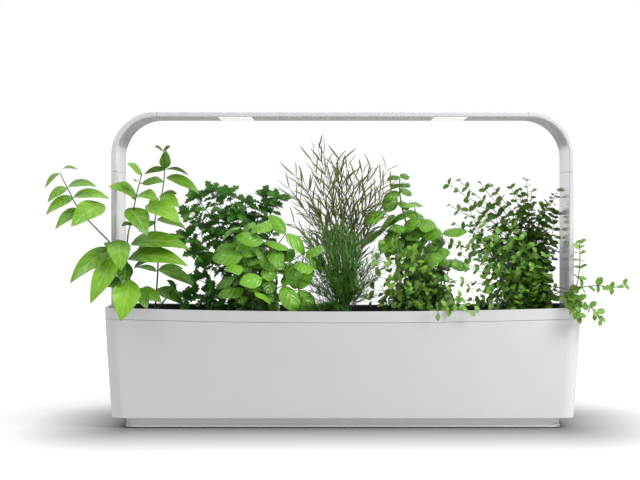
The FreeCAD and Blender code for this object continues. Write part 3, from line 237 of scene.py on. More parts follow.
def living_leaf(name, dark, light, vein, roughness, side_veins, pucker):
    """A living leaf: waxy green that differs from leaf to leaf, a paler midrib, and side veins to the edge.

    The UV map's U runs across the blade and its V along it, so the veins follow the leaf. The attribute
    named shade is one number for each leaf: its own tone, and painted shade on leaves low on a stem or inside a
    bush.
    """
    material, tree, output = blank(name)
    blade = add(tree, "ShaderNodeSeparateXYZ", {0: add(tree, "ShaderNodeUVMap", uv_map="blade").outputs[0]})
    off = add(tree, "ShaderNodeMath", {0: blade.outputs[0], 1: 0.5}, operation="SUBTRACT")
    across = add(tree, "ShaderNodeMath", {0: off.outputs[0]}, operation="ABSOLUTE").outputs[0]
    slant = add(tree, "ShaderNodeMath", {0: across, 1: -0.55, 2: blade.outputs[1]}, operation="MULTIPLY_ADD")
    turns = add(tree, "ShaderNodeMath", {0: slant.outputs[0], 1: side_veins * 2 * math.pi}, operation="MULTIPLY")
    wave = add(tree, "ShaderNodeMath", {0: turns.outputs[0]}, operation="COSINE").outputs[0]
    side = spread(tree, wave, 0.0, 0.55, 0.75, 1.0)
    midrib = spread(tree, across, 1.0, 0.0, 0.0, 0.05)
    veins = add(tree, "ShaderNodeMath", {0: side, 1: midrib}, operation="MAXIMUM").outputs[0]
    own = add(tree, "ShaderNodeAttribute", attribute_name="shade").outputs["Fac"]
    where = add(tree, "ShaderNodeTexCoord").outputs["Object"]
    blotch = add(tree, "ShaderNodeTexNoise", {"Vector": where, "Scale": 90.0, "Detail": 3.0}).outputs[0]
    drift = add(tree, "ShaderNodeMath", {0: blotch, 1: 0.35, 2: own}, operation="MULTIPLY_ADD").outputs[0]
    green = shade_between(tree, spread(tree, drift, 0.0, 1.0, 0.15, 1.2), linear(dark), linear(light))
    veined = add(tree, "ShaderNodeMath", {0: veins, 1: 0.45}, operation="MULTIPLY").outputs[0]
    relief = add(tree, "ShaderNodeMath", {0: wave, 1: -0.5, 2: 0.5}, operation="MULTIPLY_ADD").outputs[0]
    bump = add(tree, "ShaderNodeBump", {"Height": relief, "Strength": pucker, "Distance": 0.0008})
    surface(tree, output, {
        "Base Color": shade_between(tree, veined, green, linear(vein)),
        "Roughness": spread(tree, blotch, roughness - 0.06, roughness + 0.08, 0.3, 0.7),
        "Normal": bump.outputs[0],
        "Specular IOR Level": 0.45,
        "Subsurface Weight": 0.12,
        "Subsurface Radius": (0.3, 1.0, 0.1),
        "Subsurface Scale": 0.002,
    })
    return material


def living_stem(name, low, high):
    """A herb's stem: green, going woody and darker in streaks along it."""
    material, tree, output = blank(name)
    where = add(tree, "ShaderNodeTexCoord").outputs["Object"]
    stretched = add(tree, "ShaderNodeMapping", {"Vector": where, "Scale": (500.0, 500.0, 60.0)}).outputs[0]
    streaks = add(tree, "ShaderNodeTexNoise", {"Vector": stretched, "Scale": 1.0, "Detail": 3.0}).outputs[0]
    bump = add(tree, "ShaderNodeBump", {"Height": streaks, "Strength": 0.3, "Distance": 0.0003})
    woody = spread(tree, streaks, 0.0, 1.0, 0.35, 0.65)
    surface(tree, output, {
        "Base Color": shade_between(tree, woody, linear(low), linear(high)),
        "Roughness": 0.5,
        "Normal": bump.outputs[0],
    })
    return material


# Growing

def smooth(points, steps=6):
    """Points in metres along a smooth curve through the given ones, which are in millimetres."""
    fixed = [Vector(point) * MM for point in points]
    padded = [fixed[0] * 2 - fixed[1]] + fixed + [fixed[-1] * 2 - fixed[-2]]
    line = []
    for a, b, c, d in zip(padded, padded[1:], padded[2:], padded[3:]):
        for step in range(steps):
            t = step / steps
            line.append(0.5 * (2 * b + (c - a) * t + (2 * a - 5 * b + 4 * c - d) * t ** 2
                               + (3 * b - a - 3 * c + d) * t ** 3))
    return line + [fixed[-1]]


def blade(length, width, widest, tip, fold, curl, segments, seed, teeth=0, deep=0.0):
    """One leaf as a mesh, from its stalk at the origin along +Y, with its upper face to +Z.

    The sizes are in millimetres. Widest is how far along the leaf is at its widest, tip is how pointed it
    is, fold how far the halves lift, and curl how far it bends down, in radians. Teeth is how many notches
    each edge has, and deep how much of the width they take.
    """
    rng = random.Random(seed)
    bm = bmesh.new()
    uv = bm.loops.layers.uv.new("blade")
    bmesh.ops.create_grid(bm, x_segments=segments[0], y_segments=segments[1], size=0.5)
    for face in bm.faces:
        for loop in face.loops:
            loop[uv].uv = (loop.vert.co.x + 0.5, loop.vert.co.y + 0.5)
    power = math.log(0.5) / math.log(widest)
    phase = rng.uniform(0, math.pi)
    for vert in bm.verts:
        across, along = vert.co.x * 2, min(1.0, max(0.0, vert.co.y + 0.5))
        half = width / 2 * math.sin(math.pi * along ** power) ** tip if 0 < along < 1 else 0.0
        if teeth:
            half *= 1 - deep * abs(math.sin(math.pi * teeth * along))
        lift = fold * width * abs(across) ** 1.5 * (1 if fold > 0 else 1.2)
        ruffle = 0.03 * width * math.sin(9 * along + phase) * abs(across)
        bend = curl * along
        reach = length * (math.sin(bend) / curl if curl else along)
        drop = length * ((1 - math.cos(bend)) / curl if curl else 0.0)
        vert.co = Vector((across * half, reach, lift * half / (width / 2) + ruffle - drop)) * MM
    bmesh.ops.remove_doubles(bm, verts=bm.verts, dist=0.02 * MM)
    for face in bm.faces:
        face.smooth = True
    mesh = bpy.data.meshes.new("blade")
    bm.to_mesh(mesh)
    bm.free()
    mesh.attributes.new("shade", "FLOAT", "POINT")
    return mesh


def placed(mesh, base, towards, up, size, shade):
    """A copy of a blade, with its stalk at base, pointing towards a direction with its face up."""
    forward = towards.normalized()
    side = forward.cross(up)
    if side.length < 0.05:
        side = forward.cross(Vector((1.0, 0.1, 0.0)))
    side.normalize()
    turn = Matrix((side, forward, side.cross(forward))).transposed().to_4x4()
    copy = mesh.copy()
    copy.transform(Matrix.Translation(base) @ turn @ Matrix.Scale(size, 4))
    copy.attributes["shade"].data.foreach_set("value", [shade] * len(copy.vertices))
    return copy


class Plant:
    """Gathers one herb's stems and blades, and makes them one piece that stands for its node."""

    def __init__(self, index, node, leaf, stalk, seed):
        self.index, self.node = index, node
        self.materials = (leaf, stalk)
        low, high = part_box(f"grow_plug_{index:02d}")
        middle = (low + high) / 2
        self.base = Vector((middle.x, middle.y + math.copysign(STEM_SHIFT * MM, middle.y), high.z))
        self.random = random.Random(seed)
        self.blades = []
        self.curve = bpy.data.curves.new(node + "_stems", "CURVE")
        self.curve.dimensions = "3D"
        self.curve.bevel_depth = MM
        self.curve.bevel_resolution = 1
        self.curve.use_fill_caps = True

    def stem(self, points, thick, thin, steps=6):
        """A tapering stem through points in millimetres from the plug's top. Returns its smooth line."""
        line = smooth(points, steps)
        spline = self.curve.splines.new("POLY")
        spline.points.add(len(line) - 1)
        for i, (point, place) in enumerate(zip(spline.points, line)):
            point.co = (*place, 1.0)
            point.radius = thick + (thin - thick) * i / (len(line) - 1)
        return line

    def leaf(self, mesh, base, towards, up, size, shade):
        """One blade. Base is in metres from the plug's top."""
        self.blades.append(placed(mesh, base, Vector(towards), Vector(up), size, shade))

    def pairs(self, meshes, line, start, count, size, rise, spin, shade, whorl=2):
        """Opposite pairs of blades up a line, each turned a quarter from the one below.

        Size and shade are given for the lowest and the topmost leaves, and rise is the angle above square
        to the stem, in radians. Whorl is how many leaves stand together.
        """
        rng = self.random
        for k in range(count):
            t = start + (1 - start) * (k / max(1, count - 1))
            spot = t * (len(line) - 1)
            i = min(int(spot), len(line) - 2)
            base = line[i].lerp(line[i + 1], spot - i)
            axis = (line[i + 1] - line[i]).normalized()
            flat = axis.cross(Vector((0, 0.3, 1))) if abs(axis.z) < 0.9 else axis.cross(Vector((0, 1, 0)))
            flat.normalize()
            grown = size[0] + (size[1] - size[0]) * k / max(1, count - 1)
            lift = rise + (0.9 - rise) * max(0.0, k / max(1, count - 1) - 0.75) * 2
            for side in range(whorl):
                angle = spin + k * math.pi / 2 + side * 2 * math.pi / whorl + rng.uniform(-0.35, 0.35)
                out = Matrix.Rotation(angle, 3, axis) @ flat
                towards = out * math.cos(lift) + axis * math.sin(lift) + Vector((0, 0, rng.uniform(-0.25, 0.1)))
                # Partly painted shade: leaves low on the stem are darker as they lie in shade, and those near the
                # tip lighter as new leaves are paler, with a random tone for each leaf
                tone = shade[0] + (shade[1] - shade[0]) * t + rng.uniform(-0.2, 0.2)
                facing = Vector((rng.uniform(-0.7, 0.7), rng.uniform(-1.1, -0.3), 0.6)) + axis * 0.2
                self.leaf(rng.choice(meshes), base, towards, facing, grown * rng.uniform(0.8, 1.15), tone)

    def finish(self, slot):
        """Joins everything into one mesh, sets it on its pod's body and hides the node it stands for."""
        holder = bpy.data.objects.new("holder", self.curve)
        bpy.context.scene.collection.objects.link(holder)
        stems = bpy.data.meshes.new_from_object(holder.evaluated_get(bpy.context.evaluated_depsgraph_get()))
        bpy.data.objects.remove(holder)
        for polygon in stems.polygons:
            polygon.material_index = 1
            polygon.use_smooth = True
        bm = bmesh.new()
        bm.loops.layers.uv.new("blade")
        bm.verts.layers.float.new("shade")
        for mesh in self.blades + [stems]:
            bm.from_mesh(mesh)
            bpy.data.meshes.remove(mesh)
        bmesh.ops.translate(bm, verts=bm.verts, vec=self.base)
        whole = bpy.data.meshes.new(self.node + "_grown")
        bm.to_mesh(whole)
        bm.free()
        for material in self.materials:
            whole.materials.append(material)
        piece = bpy.data.objects.new(self.node + "_grown", whole)
        bpy.context.scene.collection.objects.link(piece)
        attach(piece, f"pod_{self.index:02d}")
        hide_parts(self.node)
        return piece


# The herbs: stems, leaves and tips, in millimetres from the top of each plug

ARCHING_STEMS = (
    ((0, 0, 0), (-22, -13, 37), (-29, -29, 66), (-42, -37, 87),
     (-63, -39, 109), (-82, -39, 130), (-97, -37, 157), (-106, -37, 175)),
    ((0, 0, 0), (-19, -11, 31), (-26, -21, 66), (-24, -27, 98),
     (-20, -29, 115), (-14, -27, 146), (-7, -27, 174)),
)
FRONT_BROAD_LEAVES = (
    ((-83, -24, 130), (-108, -47, 108), "long", 0.5),
    ((-53, -26, 136), (-87, -53, 112), "wide", 0.75),
    ((-24, -24, 132), (0, -47, 101), "wide", 0.45),
    ((-3, -18, 135), (38, -37, 116), "wide", 0.9),
    ((-45, -22, 89), (-47, -45, 82), "small", 0.35),
    ((-36, -28, 93), (-29, -55, 59), "wide", 0.7),
    ((-22, -14, 87), (48, -29, 81), "long", 0.55),
    ((-25, -18, 69), (46, -37, 61), "long", 0.6),
    ((-43, -22, 81), (-89, -45, 43), "long", 0.6),
    ((-40, -26, 73), (-65, -51, 20), "long", 0.85),
    ((-21, -26, 44), (-29, -53, -1), "wide", 0.95),
    ((-18, -14, 56), (3, -27, 66), "long", 0.15),
    ((-27, -22, 66), (-27, -43, 40), "small", 0.1),
    ((-25, -20, 41), (-52, -39, 36), "small", 0.2),
    ((-16, -12, 31), (15, -25, 17), "small", 0.5),
    ((-13, -16, 29), (-1, -33, 10), "wide", 0.4),
    ((-100, -20, 157), (-119, -41, 140), "long", 0.45),
    ((-100, -16, 157), (-64, -33, 158), "long", 0.55),
    ((-92, -22, 145), (-120, -43, 125), "long", 0.6),
    ((-93, -16, 145), (-49, -31, 143), "long", 0.9),
    ((-109, -18, 175), (-123, -37, 158), "thin", 0.3),
    ((-109, -16, 176), (-86, -33, 179), "thin", 0.5),
    ((-15, -14, 147), (-45, -27, 158), "wide", 0.6),
    ((-14, -20, 147), (12, -41, 142), "wide", 0.6),
    ((-8, -12, 172), (-24, -25, 186), "small", 0.65),
    ((-9, -12, 162), (18, -25, 164), "small", 0.3),
    ((-9, -20, 162), (-15, -39, 165), "small", 0.3),
    ((-17, -4, 142), (-22, -7, 152), "small", 0.35),
    ((-27, -4, 111), (-4, -7, 110), "long", 0.3),
    ((-24, -6, 115), (-33, -11, 110), "small", 0.5),
)
UPRIGHT_STEMS = (
    ((0, 0, 0), (1, 1, 15), (4, -1, 59), (2, -5, 91),
     (1, -9, 117), (10, -13, 149), (14, -15, 181), (12, -13, 206)),
    ((0, 0, 0), (13, -3, 15), (24, -7, 28), (29, -9, 36)),
)
BACK_BROAD_LEAVES = (
    ((13, -6, 182), (15, -11, 204), "wide", 0.6),
    ((11, -10, 205), (2, -19, 210), "small", 0.75),
    ((11, -2, 205), (20, -5, 211), "small", 0.55),
    ((14, -8, 181), (-10, -17, 175), "long", 0.25),
    ((14, -6, 181), (42, -13, 174), "thin", 0.3),
    ((15, -6, 171), (55, -13, 151), "long", 0.85),
    ((10, -4, 150), (28, -9, 150), "small", 0.6),
    ((7, -10, 148), (31, -19, 134), "wide", 1.0),
    ((5, -6, 145), (-6, -13, 135), "wide", 0.8),
    ((3, -6, 117), (38, -11, 106), "long", 0.4),
    ((2, -2, 114), (-19, -3, 102), "long", 0.35),
    ((4, 2, 88), (36, 3, 94), "long", 0.5),
    ((4, 4, 88), (-22, 7, 78), "long", 0.2),
    ((5, -6, 53), (50, -11, 32), "long", 0.3),
    ((4, 2, 52), (34, 5, 54), "long", 0.25),
    ((3, -4, 51), (-21, -7, 56), "long", 0.12),
    ((2, -2, 28), (34, -3, 11), "wide", 0.6),
    ((1, 6, 25), (-25, 11, 19), "wide", 0.25),
    ((28, -6, 28), (17, -13, 40), "small", 0.5),
    ((26, -2, 25), (40, -3, 17), "small", 0.7),
)
PARSLEY_TIPS = (
    (-47, 7, 153), (-27, 12, 149), (-5, 7, 140), (17, 5, 146), (37, 2, 144), (26, 17, 134),
    (-76, 7, 127), (-64, 17, 112), (-79, 12, 95), (-70, 17, 76), (-35, 17, 121), (-15, -3, 125),
    (1, 12, 114), (-43, 2, 95), (-57, 12, 63), (-65, 7, 40), (-44, 7, 27), (-22, 12, 33),
    (1, 2, 27), (-77, -3, 15), (-53, 17, 14), (-12, 17, 95), (33, 7, 108), (-68, 12, 145),
    (-35, 17, 63), (-21, -3, 79), (-67, -7, 23), (-34, 1, 12),
)
BUSH_BASIL_TIPS = (
    (49, -12, 100), (23, -19, 90), (-3, -19, 72), (-19, -12, 63), (65, -12, 66), (46, -19, 37),
    (21, -25, 46), (-1, -12, 33), (-17, -5, 103), (7, -3, 107), (75, -9, 78), (28, -17, 19),
    (65, -11, 31), (32, -7, 65),
)
TARRAGON_TIPS = (
    (-31, -9, 206), (-38, -13, 191), (-24, -5, 200), (-10, -3, 185), (5, -11, 181), (-2, 1, 191),
    (16, -7, 172), (25, -3, 176), (36, -5, 179), (-59, -19, 172), (-67, -17, 156), (-49, -19, 165),
    (41, -7, 155), (55, -17, 178), (52, -15, 158), (61, -19, 155), (-16, -13, 168), (3, -5, 159),
    (-42, -7, 153), (-54, -15, 140), (28, -11, 146), (-23, -3, 140), (-6, 3, 176), (12, 1, 153),
    (47, -13, 134), (-61, -17, 111), (-48, -9, 98), (37, -9, 111), (22, -3, 123), (-32, 1, 117),
)
DILL_TIPS = (
    (-22, 0, 105), (-10, 3, 109), (3, -3, 105), (12, 3, 100), (-31, 5, 96), (-38, 0, 86),
    (24, 3, 90), (34, -3, 80), (41, 0, 65), (36, -5, 47), (-43, -3, 70), (-38, -9, 47),
    (-16, -13, 84), (3, -13, 80), (21, -13, 63), (-22, -15, 59), (-3, -15, 41), (-33, -9, 28),
    (12, -11, 35), (29, -5, 28), (-45, -25, 12), (-26, -13, 12), (-6, -9, 65), (-13, -5, 95),
    (9, 5, 87), (9, 7, 55), (-26, 5, 75), (-6, -13, 19),
)
TALL_BASIL_TIPS = (
    (-66, -11, 127), (-62, -3, 112), (-29, -7, 135), (-11, -3, 112), (7, -7, 99), (-6, -9, 76),
    (16, -13, 59), (-72, -1, 104), (-45, -11, 102),
)
LEADING_BASIL_STEM = ((-4, 0, 0), (-20, 4, 60), (-40, -3, 117), (-47, -3, 150), (-47, -3, 172))
THYME_TIPS = (
    (-67, 7, 90), (-55, 2, 84), (-76, -5, 68), (-61, -9, 65), (-43, -3, 70), (-30, -9, 58),
    (-18, 1, 65), (-9, -9, 49), (-74, -9, 47), (-55, -17, 41), (-35, -19, 35), (-15, -15, 29),
    (7, -10, 31), (-47, -17, 16), (-25, -19, 15), (-5, -55, 5), (7, -47, 12), (18, -45, 15),
    (32, -55, 7), (40, -47, 13), (24, -27, 22), (-68, -10, 21), (-81, -5, 31), (-84, -3, 16),
    (11, -3, 40), (-30, 11, 80), (-48, 13, 55), (-23, 11, 42), (-58, 9, 30),
)
BACK_OREGANO_TIPS = (
    (-104, 2, 162), (-91, -1, 167), (-64, 3, 164), (-49, -3, 160), (-24, 1, 158), (-13, -5, 155),
    (-5, -1, 167), (2, 5, 153), (-104, -3, 136), (-80, 5, 139), (35, -3, 155), (26, 1, 144),
    (16, -7, 134), (32, 3, 127), (12, -3, 125), (-39, 5, 136), (-58, -3, 123), (-19, 5, 123),
    (32, -1, 95), (-96, 3, 111), (-71, -3, 104), (-113, 1, 91), (19, 3, 99), (0, 7, 111),
    (-45, 7, 104), (27, -3, 68), (-26, 1, 85), (-88, -3, 72),
)
FRONT_OREGANO_TIPS = (
    (-94, 0, 86), (-76, -7, 93), (-57, -1, 95), (-39, -10, 90), (-20, -3, 93), (-2, -10, 86),
    (12, -5, 72), (-98, -5, 65), (-85, -13, 58), (-64, -15, 66), (-46, -15, 58), (-26, -17, 66),
    (-6, -15, 56), (12, -10, 48), (22, -7, 36), (-105, -7, 43), (-83, -15, 33), (-58, -17, 31),
    (-34, -17, 31), (-9, -15, 29), (9, -11, 20), (-71, -17, 15), (-46, -17, 13), (-21, -17, 15),
    (-95, -10, 18), (-63, 7, 111), (-31, 7, 115),
)
OREGANO_TRAILS = (
    ((0, 0, 0), (10, -11, 18), (22, -25, 34), (41, -35, 32),
     (57, -35, 36), (75, -33, 37), (90, -31, 34), (105, -29, 39)),
    ((0, 0, 0), (10, -11, 18), (27, -27, 29), (43, -35, 29), (50, -33, 56), (51, -31, 75), (51, -29, 89)),
    ((0, 0, 0), (10, -11, 18), (29, -29, 24), (45, -39, 20), (60, -41, 13), (70, -39, 5), (76, -37, -4)),
    ((0, 0, 0), (10, -11, 18), (27, -27, 24), (38, -39, 20), (44, -47, 8), (48, -47, -1)),
)


# The things a user would change

class GardenFinish(bpy.types.PropertyGroup):
    """Colours and gloss of the moulded pieces."""
    shell: StringProperty(name="Shell colour", description="Hex colour of the casing and rim", default="DADADC")
    arch: StringProperty(name="Arch colour", description="Hex colour of the light arch", default="DDDDDF")
    deck: StringProperty(name="Deck colour", description="Hex colour of the planting deck", default="141415")
    flap: StringProperty(name="Flap colour", description="Hex colour of the filler flap", default="C9CACA")
    gloss: FloatProperty(
        name="Shell roughness", description="0 is a mirror, 1 is chalk", default=0.36, min=0.05, max=1.0)


class GardenHerbs(bpy.types.PropertyGroup):
    """How the herbs grow."""
    basil_leaf: FloatProperty(
        name="Basil leaf", description="Length of a grown leaf in millimetres", default=35.0, min=5.0)
    broad_leaf: FloatProperty(
        name="Broad leaf", description="Length of a leaf against the distance to its tip's place", default=1.08,
        min=0.2)
    oregano_leaf: FloatProperty(
        name="Oregano leaf", description="Length of a grown leaf in millimetres", default=13.5, min=2.0)
    seed: IntProperty(name="Seed", description="Gives another plant of the same shape", default=7, min=0)


class GardenStage(bpy.types.PropertyGroup):
    """Camera, floor and lamps."""
    distance: FloatProperty(
        name="Camera distance", description="From the middle of the garden", default=2.4, unit="LENGTH")
    height: FloatProperty(name="Camera height", description="Above the floor", default=0.2713, unit="LENGTH")
    lens: FloatProperty(name="Focal length", description="On a 36 mm sensor", default=107.1, min=10.0)
    main_lamp: FloatProperty(
        name="Main lamp", description="Power of the large lamp at the right", default=26.0, min=0.0)
    sky: FloatVectorProperty(
        name="Room light", description="Colour of the light from all round", subtype="COLOR",
        default=(0.3, 0.3, 0.3), size=3)


SENSOR = 36.0  # width of the camera's sensor in millimetres
CAMERA_SHIFT = (-0.0355, -0.05)  # how far the picture's middle lies from the lens axis, in picture widths
LAMP_TARGET = (0.0, 0.0, 0.15)

# name, place and side in metres, share of the main lamp's power
LAMPS = (
    ("right_lamp", (1.25, -0.75, 1.15), 0.9, 1.0),
    ("left_lamp", (-1.6, -0.5, 1.6), 1.0, 0.62),
    ("top_lamp", (0.0, 0.1, 1.9), 1.2, 0.26),
)

# The floor as the camera sees it, with its lengths in metres
FLOOR_SIZE = 12.0
LAMP_SHADOWS = 0.3  # strength of the lamps' own shadows
PLINTH_EDGE = (0.268, 0.065, 1.0)  # half the plinth's length and depth; the last keeps height out of it
REACH = (1.0, 0.62, 0.0)  # below 1 makes the painted shadow reach further that way
PAINTED_SHADOW_WIDTH, PAINTED_SHADOW_GLOW = 0.13, 0.72  # the painted shadow round the plinth: how far it reaches, and the glow where it ends
FADE_WIDTH, FADE_GLOW = 0.3, 0.3  # how far out the floor has turned white, and the glow added on the way


class GARDEN_OT_stage(bpy.types.Operator):
    """Sets the floor, the room light, the lamps and the camera."""
    bl_idname = "garden.stage"
    bl_label = "Stage"

    def execute(self, context):
        scene, settings = context.scene, context.scene.garden_stage
        scene.view_settings.view_transform = "Standard"
        data = bpy.data.cameras.new("photo_camera")
        data.lens = settings.lens
        data.sensor_width = SENSOR
        data.shift_x, data.shift_y = CAMERA_SHIFT
        data.clip_end = 50.0
        camera = bpy.data.objects.new("photo_camera", data)
        camera.location = (0.0, -settings.distance, settings.height)
        camera.rotation_euler = (math.pi / 2, 0.0, 0.0)
        scene.collection.objects.link(camera)
        scene.camera = camera
        self.floor(scene)
        self.room(scene, settings.sky)
        for name, place, size, share in LAMPS:
            lamp = bpy.data.lights.new(name, "AREA")
            lamp.shape = "SQUARE"
            lamp.size = size
            lamp.energy = settings.main_lamp * share
            holder = bpy.data.objects.new(name, lamp)
            holder.location = place
            aim = Vector(LAMP_TARGET) - Vector(place)
            holder.rotation_euler = aim.to_track_quat("-Z", "Y").to_euler()
            scene.collection.objects.link(holder)
        return {"FINISHED"}

    def floor(self, scene):
        """A pale matt floor that the camera sees as white, with the garden's shadow on it.

        The camera sees the lamps' shadows at less than full strength, and a soft shadow painted round the plinth,
        which reaches further in front than at the ends.
        """
        bm = bmesh.new()
        bmesh.ops.create_grid(bm, x_segments=1, y_segments=1, size=FLOOR_SIZE)
        mesh = bpy.data.meshes.new("floor")
        bm.to_mesh(mesh)
        bm.free()
        floor = bpy.data.objects.new("floor", mesh)
        scene.collection.objects.link(floor)
        material, tree, output = blank("pale_paper_floor")
        path = add(tree, "ShaderNodeLightPath")
        where = add(tree, "ShaderNodeTexCoord").outputs["Object"]
        grain = add(tree, "ShaderNodeTexNoise", {"Vector": where, "Scale": 900.0}).outputs[0]
        camera = path.outputs["Is Camera Ray"]
        shade = shade_between(tree, grain, linear("E4E4E4"), linear("E8E8E8"))
        paper = add(tree, "ShaderNodeBsdfDiffuse", {
            "Color": vector_math(tree, "SCALE", {0: shade, "Scale": spread(tree, camera, 1.0, LAMP_SHADOWS)}),
        })
        folded = vector_math(tree, "ABSOLUTE", {0: where})
        past = vector_math(tree, "SUBTRACT", {0: folded, 1: PLINTH_EDGE})
        outside = vector_math(tree, "MAXIMUM", {0: past, 1: (0.0, 0.0, 0.0)})
        scaled = vector_math(tree, "MULTIPLY", {0: outside, 1: REACH})
        away = add(tree, "ShaderNodeVectorMath", {0: scaled}, operation="LENGTH").outputs["Value"]
        # Painted shadow: the camera sees less glow near the plinth, so the floor is darkest at its foot
        painted_shadow = spread(tree, away, 0.0, PAINTED_SHADOW_GLOW, 0.0, PAINTED_SHADOW_WIDTH)
        far = spread(tree, away, 0.0, FADE_GLOW, PAINTED_SHADOW_WIDTH, FADE_WIDTH)
        level = add(tree, "ShaderNodeMath", {0: painted_shadow, 1: far}, operation="ADD").outputs[0]
        seen = add(tree, "ShaderNodeMath", {0: camera, 1: level}, operation="MULTIPLY")
        white = add(tree, "ShaderNodeEmission", {"Color": WHITE, "Strength": seen.outputs[0]})
        both = add(tree, "ShaderNodeAddShader", {0: paper.outputs[0], 1: white.outputs[0]})
        tree.links.new(both.outputs[0], output.inputs["Surface"])
        mesh.materials.append(material)

    def room(self, scene, sky):
        """White behind the garden, and a plain soft light from all round."""
        world = bpy.data.worlds.new("room")
        scene.world = world
        world.use_nodes = True
        tree = world.node_tree
        tree.nodes.clear()
        path = add(tree, "ShaderNodeLightPath")
        seen = path.outputs["Is Camera Ray"]
        for ray in ("Is Transmission Ray", "Is Glossy Ray"):
            seen = add(tree, "ShaderNodeMath", {0: seen, 1: path.outputs[ray]}, operation="MAXIMUM").outputs[0]
        colour = shade_between(tree, seen, (*sky, 1.0), WHITE)
        back = add(tree, "ShaderNodeBackground", {"Color": colour, "Strength": 1.0})
        end = add(tree, "ShaderNodeOutputWorld")
        tree.links.new(back.outputs[0], end.inputs["Surface"])


class GARDEN_OT_finishes(bpy.types.Operator):
    """Gives each moulded, metal, rubber and foam piece its finish."""
    bl_idname = "garden.finishes"
    bl_label = "Finishes"

    def execute(self, context):
        looks = context.scene.garden_finish
        finishes = {
            "shell_white": moulded("satin_white_abs_shell", looks.shell, looks.gloss, grain=0.8, depth=0.006),
            "arch_white": moulded("gloss_white_abs_arch", looks.arch, 0.22, grain=0.9, depth=0.002, coat=0.3),
            "plinth_white": ribbed_plinth(),
            "foot_rubber": rubber("black_moulded_rubber", "1B1B1C"),
            "screw_steel": steel(),
            "tank_grey": moulded("slate_grey_polypropylene", "6B6E71", 0.42, grain=0.8, depth=0.03),
            "deck_black": moulded("matt_black_abs_deck", looks.deck, 0.55, grain=0.7, depth=0.05, uneven=0.1),
            "flap_grey": moulded("light_grey_abs_flap", looks.flap, 0.4, grain=0.6, depth=0.02),
            "float_orange": moulded("orange_foamed_polyethylene", "E0762C", 0.6, grain=1.2, depth=0.08),
            "pump_black": moulded("black_nylon_pump", "17181A", 0.35, grain=0.5, depth=0.03),
            "impeller_white": moulded("natural_acetal_impeller", "E6E5DF", 0.35, grain=0.5, depth=0.01),
            "tube_silicone": rubber("milky_silicone_tube", "C3C7C6"),
            "diffuser_opal": opal_diffuser(),
            "board_green": circuit_board(),
            "bay_grey": moulded("light_grey_abs_bay", "B9BABB", 0.45, grain=0.6, depth=0.03),
            "cup_grey": moulded("grey_polypropylene_cup", "B4B6B6", 0.5, grain=0.8, depth=0.04),
            "plug_foam": wet_foam(),
        }
        for part in frame["record"]["subparts"]:
            node = frame["nodes"][part["node"]]
            finish = finishes.get(part["material_slot"])
            if finish is None:
                continue
            if not node.data.materials:
                node.data.materials.append(finish)
            for holder in node.material_slots:
                holder.material = finish
        return {"FINISHED"}


# How the single broad leaves differ: their width as a share of their length, where they are widest,
# and how far they bend down in radians
BROAD_SHAPES = {
    "wide": (0.58, 0.44, 0.95),
    "long": (0.36, 0.42, 1.15),
    "thin": (0.2, 0.5, 1.4),
    "small": (0.55, 0.5, 0.5),
}
BROAD_BLADE = 42.0  # millimetres of blade before each leaf is scaled to its own place


def chosen(plant, kinds, table, reach_past):
    """Puts single leaves on a plant: from a place on a stem to a tip, of a kind, with a shade.

    The places are in millimetres from the top of the plug. Reach_past is a leaf's length against the
    distance between its two places.
    """
    for start, end, kind, shade in table:
        base, tip = Vector(start) * MM, Vector(end) * MM
        mesh, length, curl = kinds[kind]
        chord = tip - base
        along = chord.normalized()
        up = Vector((0.15, -0.75, 0.8)) if abs(along.z) < 0.75 else Vector((0.1, -1.0, 0.3))
        up = (up - along * up.dot(along)).normalized()
        towards = along * math.cos(curl / 2) + up * math.sin(curl / 2)
        reach = length * math.sin(curl / 2) / (curl / 2)
        plant.leaf(mesh, base, towards, up, reach_past * chord.length / (reach * MM), shade)


def bush(plant, meshes, tips, count, size, thick, bare, rise, bow, shade):
    """Stems that fan out from the plug to their tips, with pairs of leaves up them.

    Count is the pairs of leaves on a long stem, and bare the part of a stem below the lowest ones. Bow
    keeps the middle of a stem nearer to the plug than a straight one has it.
    """
    rng = plant.random
    for tip in tips:
        end = Vector(tip)
        root = Vector((rng.uniform(-7, 7), rng.uniform(-5, 5), 0))
        half = root.lerp(end, 0.5)
        half += Vector((-(end.x - root.x) * bow, -(end.y - root.y) * bow, 0.06 * end.length))
        line = plant.stem([root, half, end], thick, thick * 0.4, steps=5)
        number = max(2, round(count * max(0.35, min(1.0, end.length / 130))))
        plant.pairs(meshes, line, bare, number, size, rise, rng.uniform(0, 3), shade)


class GARDEN_OT_broad_leaf_herbs(bpy.types.Operator):
    """Grows the two tall herbs with large smooth leaves in opposite pairs."""
    bl_idname = "garden.broad_leaf_herbs"
    bl_label = "Broad-leaf herbs"

    def execute(self, context):
        settings = context.scene.garden_herbs
        leaf = living_leaf("waxy_broad_leaf", dark="245E06", light="8CC62C", vein="BADC78",
                           roughness=0.3, side_veins=5.0, pucker=0.35)
        stalk = living_stem("green_herb_stem", "2B4A1A", "5F8C35")
        kinds = {}
        for kind, (share, widest, curl) in BROAD_SHAPES.items():
            mesh = blade(BROAD_BLADE, BROAD_BLADE * share, widest, tip=0.92, fold=0.1, curl=curl, segments=(6, 12),
                         seed=len(kinds))
            kinds[kind] = (mesh, BROAD_BLADE, curl)
        for index, node, stems, table in (
            (1, "broad_leaf_herb_front", ARCHING_STEMS, FRONT_BROAD_LEAVES),
            (6, "broad_leaf_herb_back", UPRIGHT_STEMS, BACK_BROAD_LEAVES),
        ):
            plant = Plant(index, node, leaf, stalk, settings.seed + index)
            for points in stems:
                plant.stem(points, thick=1.3, thin=0.6)
            chosen(plant, kinds, table, settings.broad_leaf)
            plant.finish("leaf_bright")
        return {"FINISHED"}


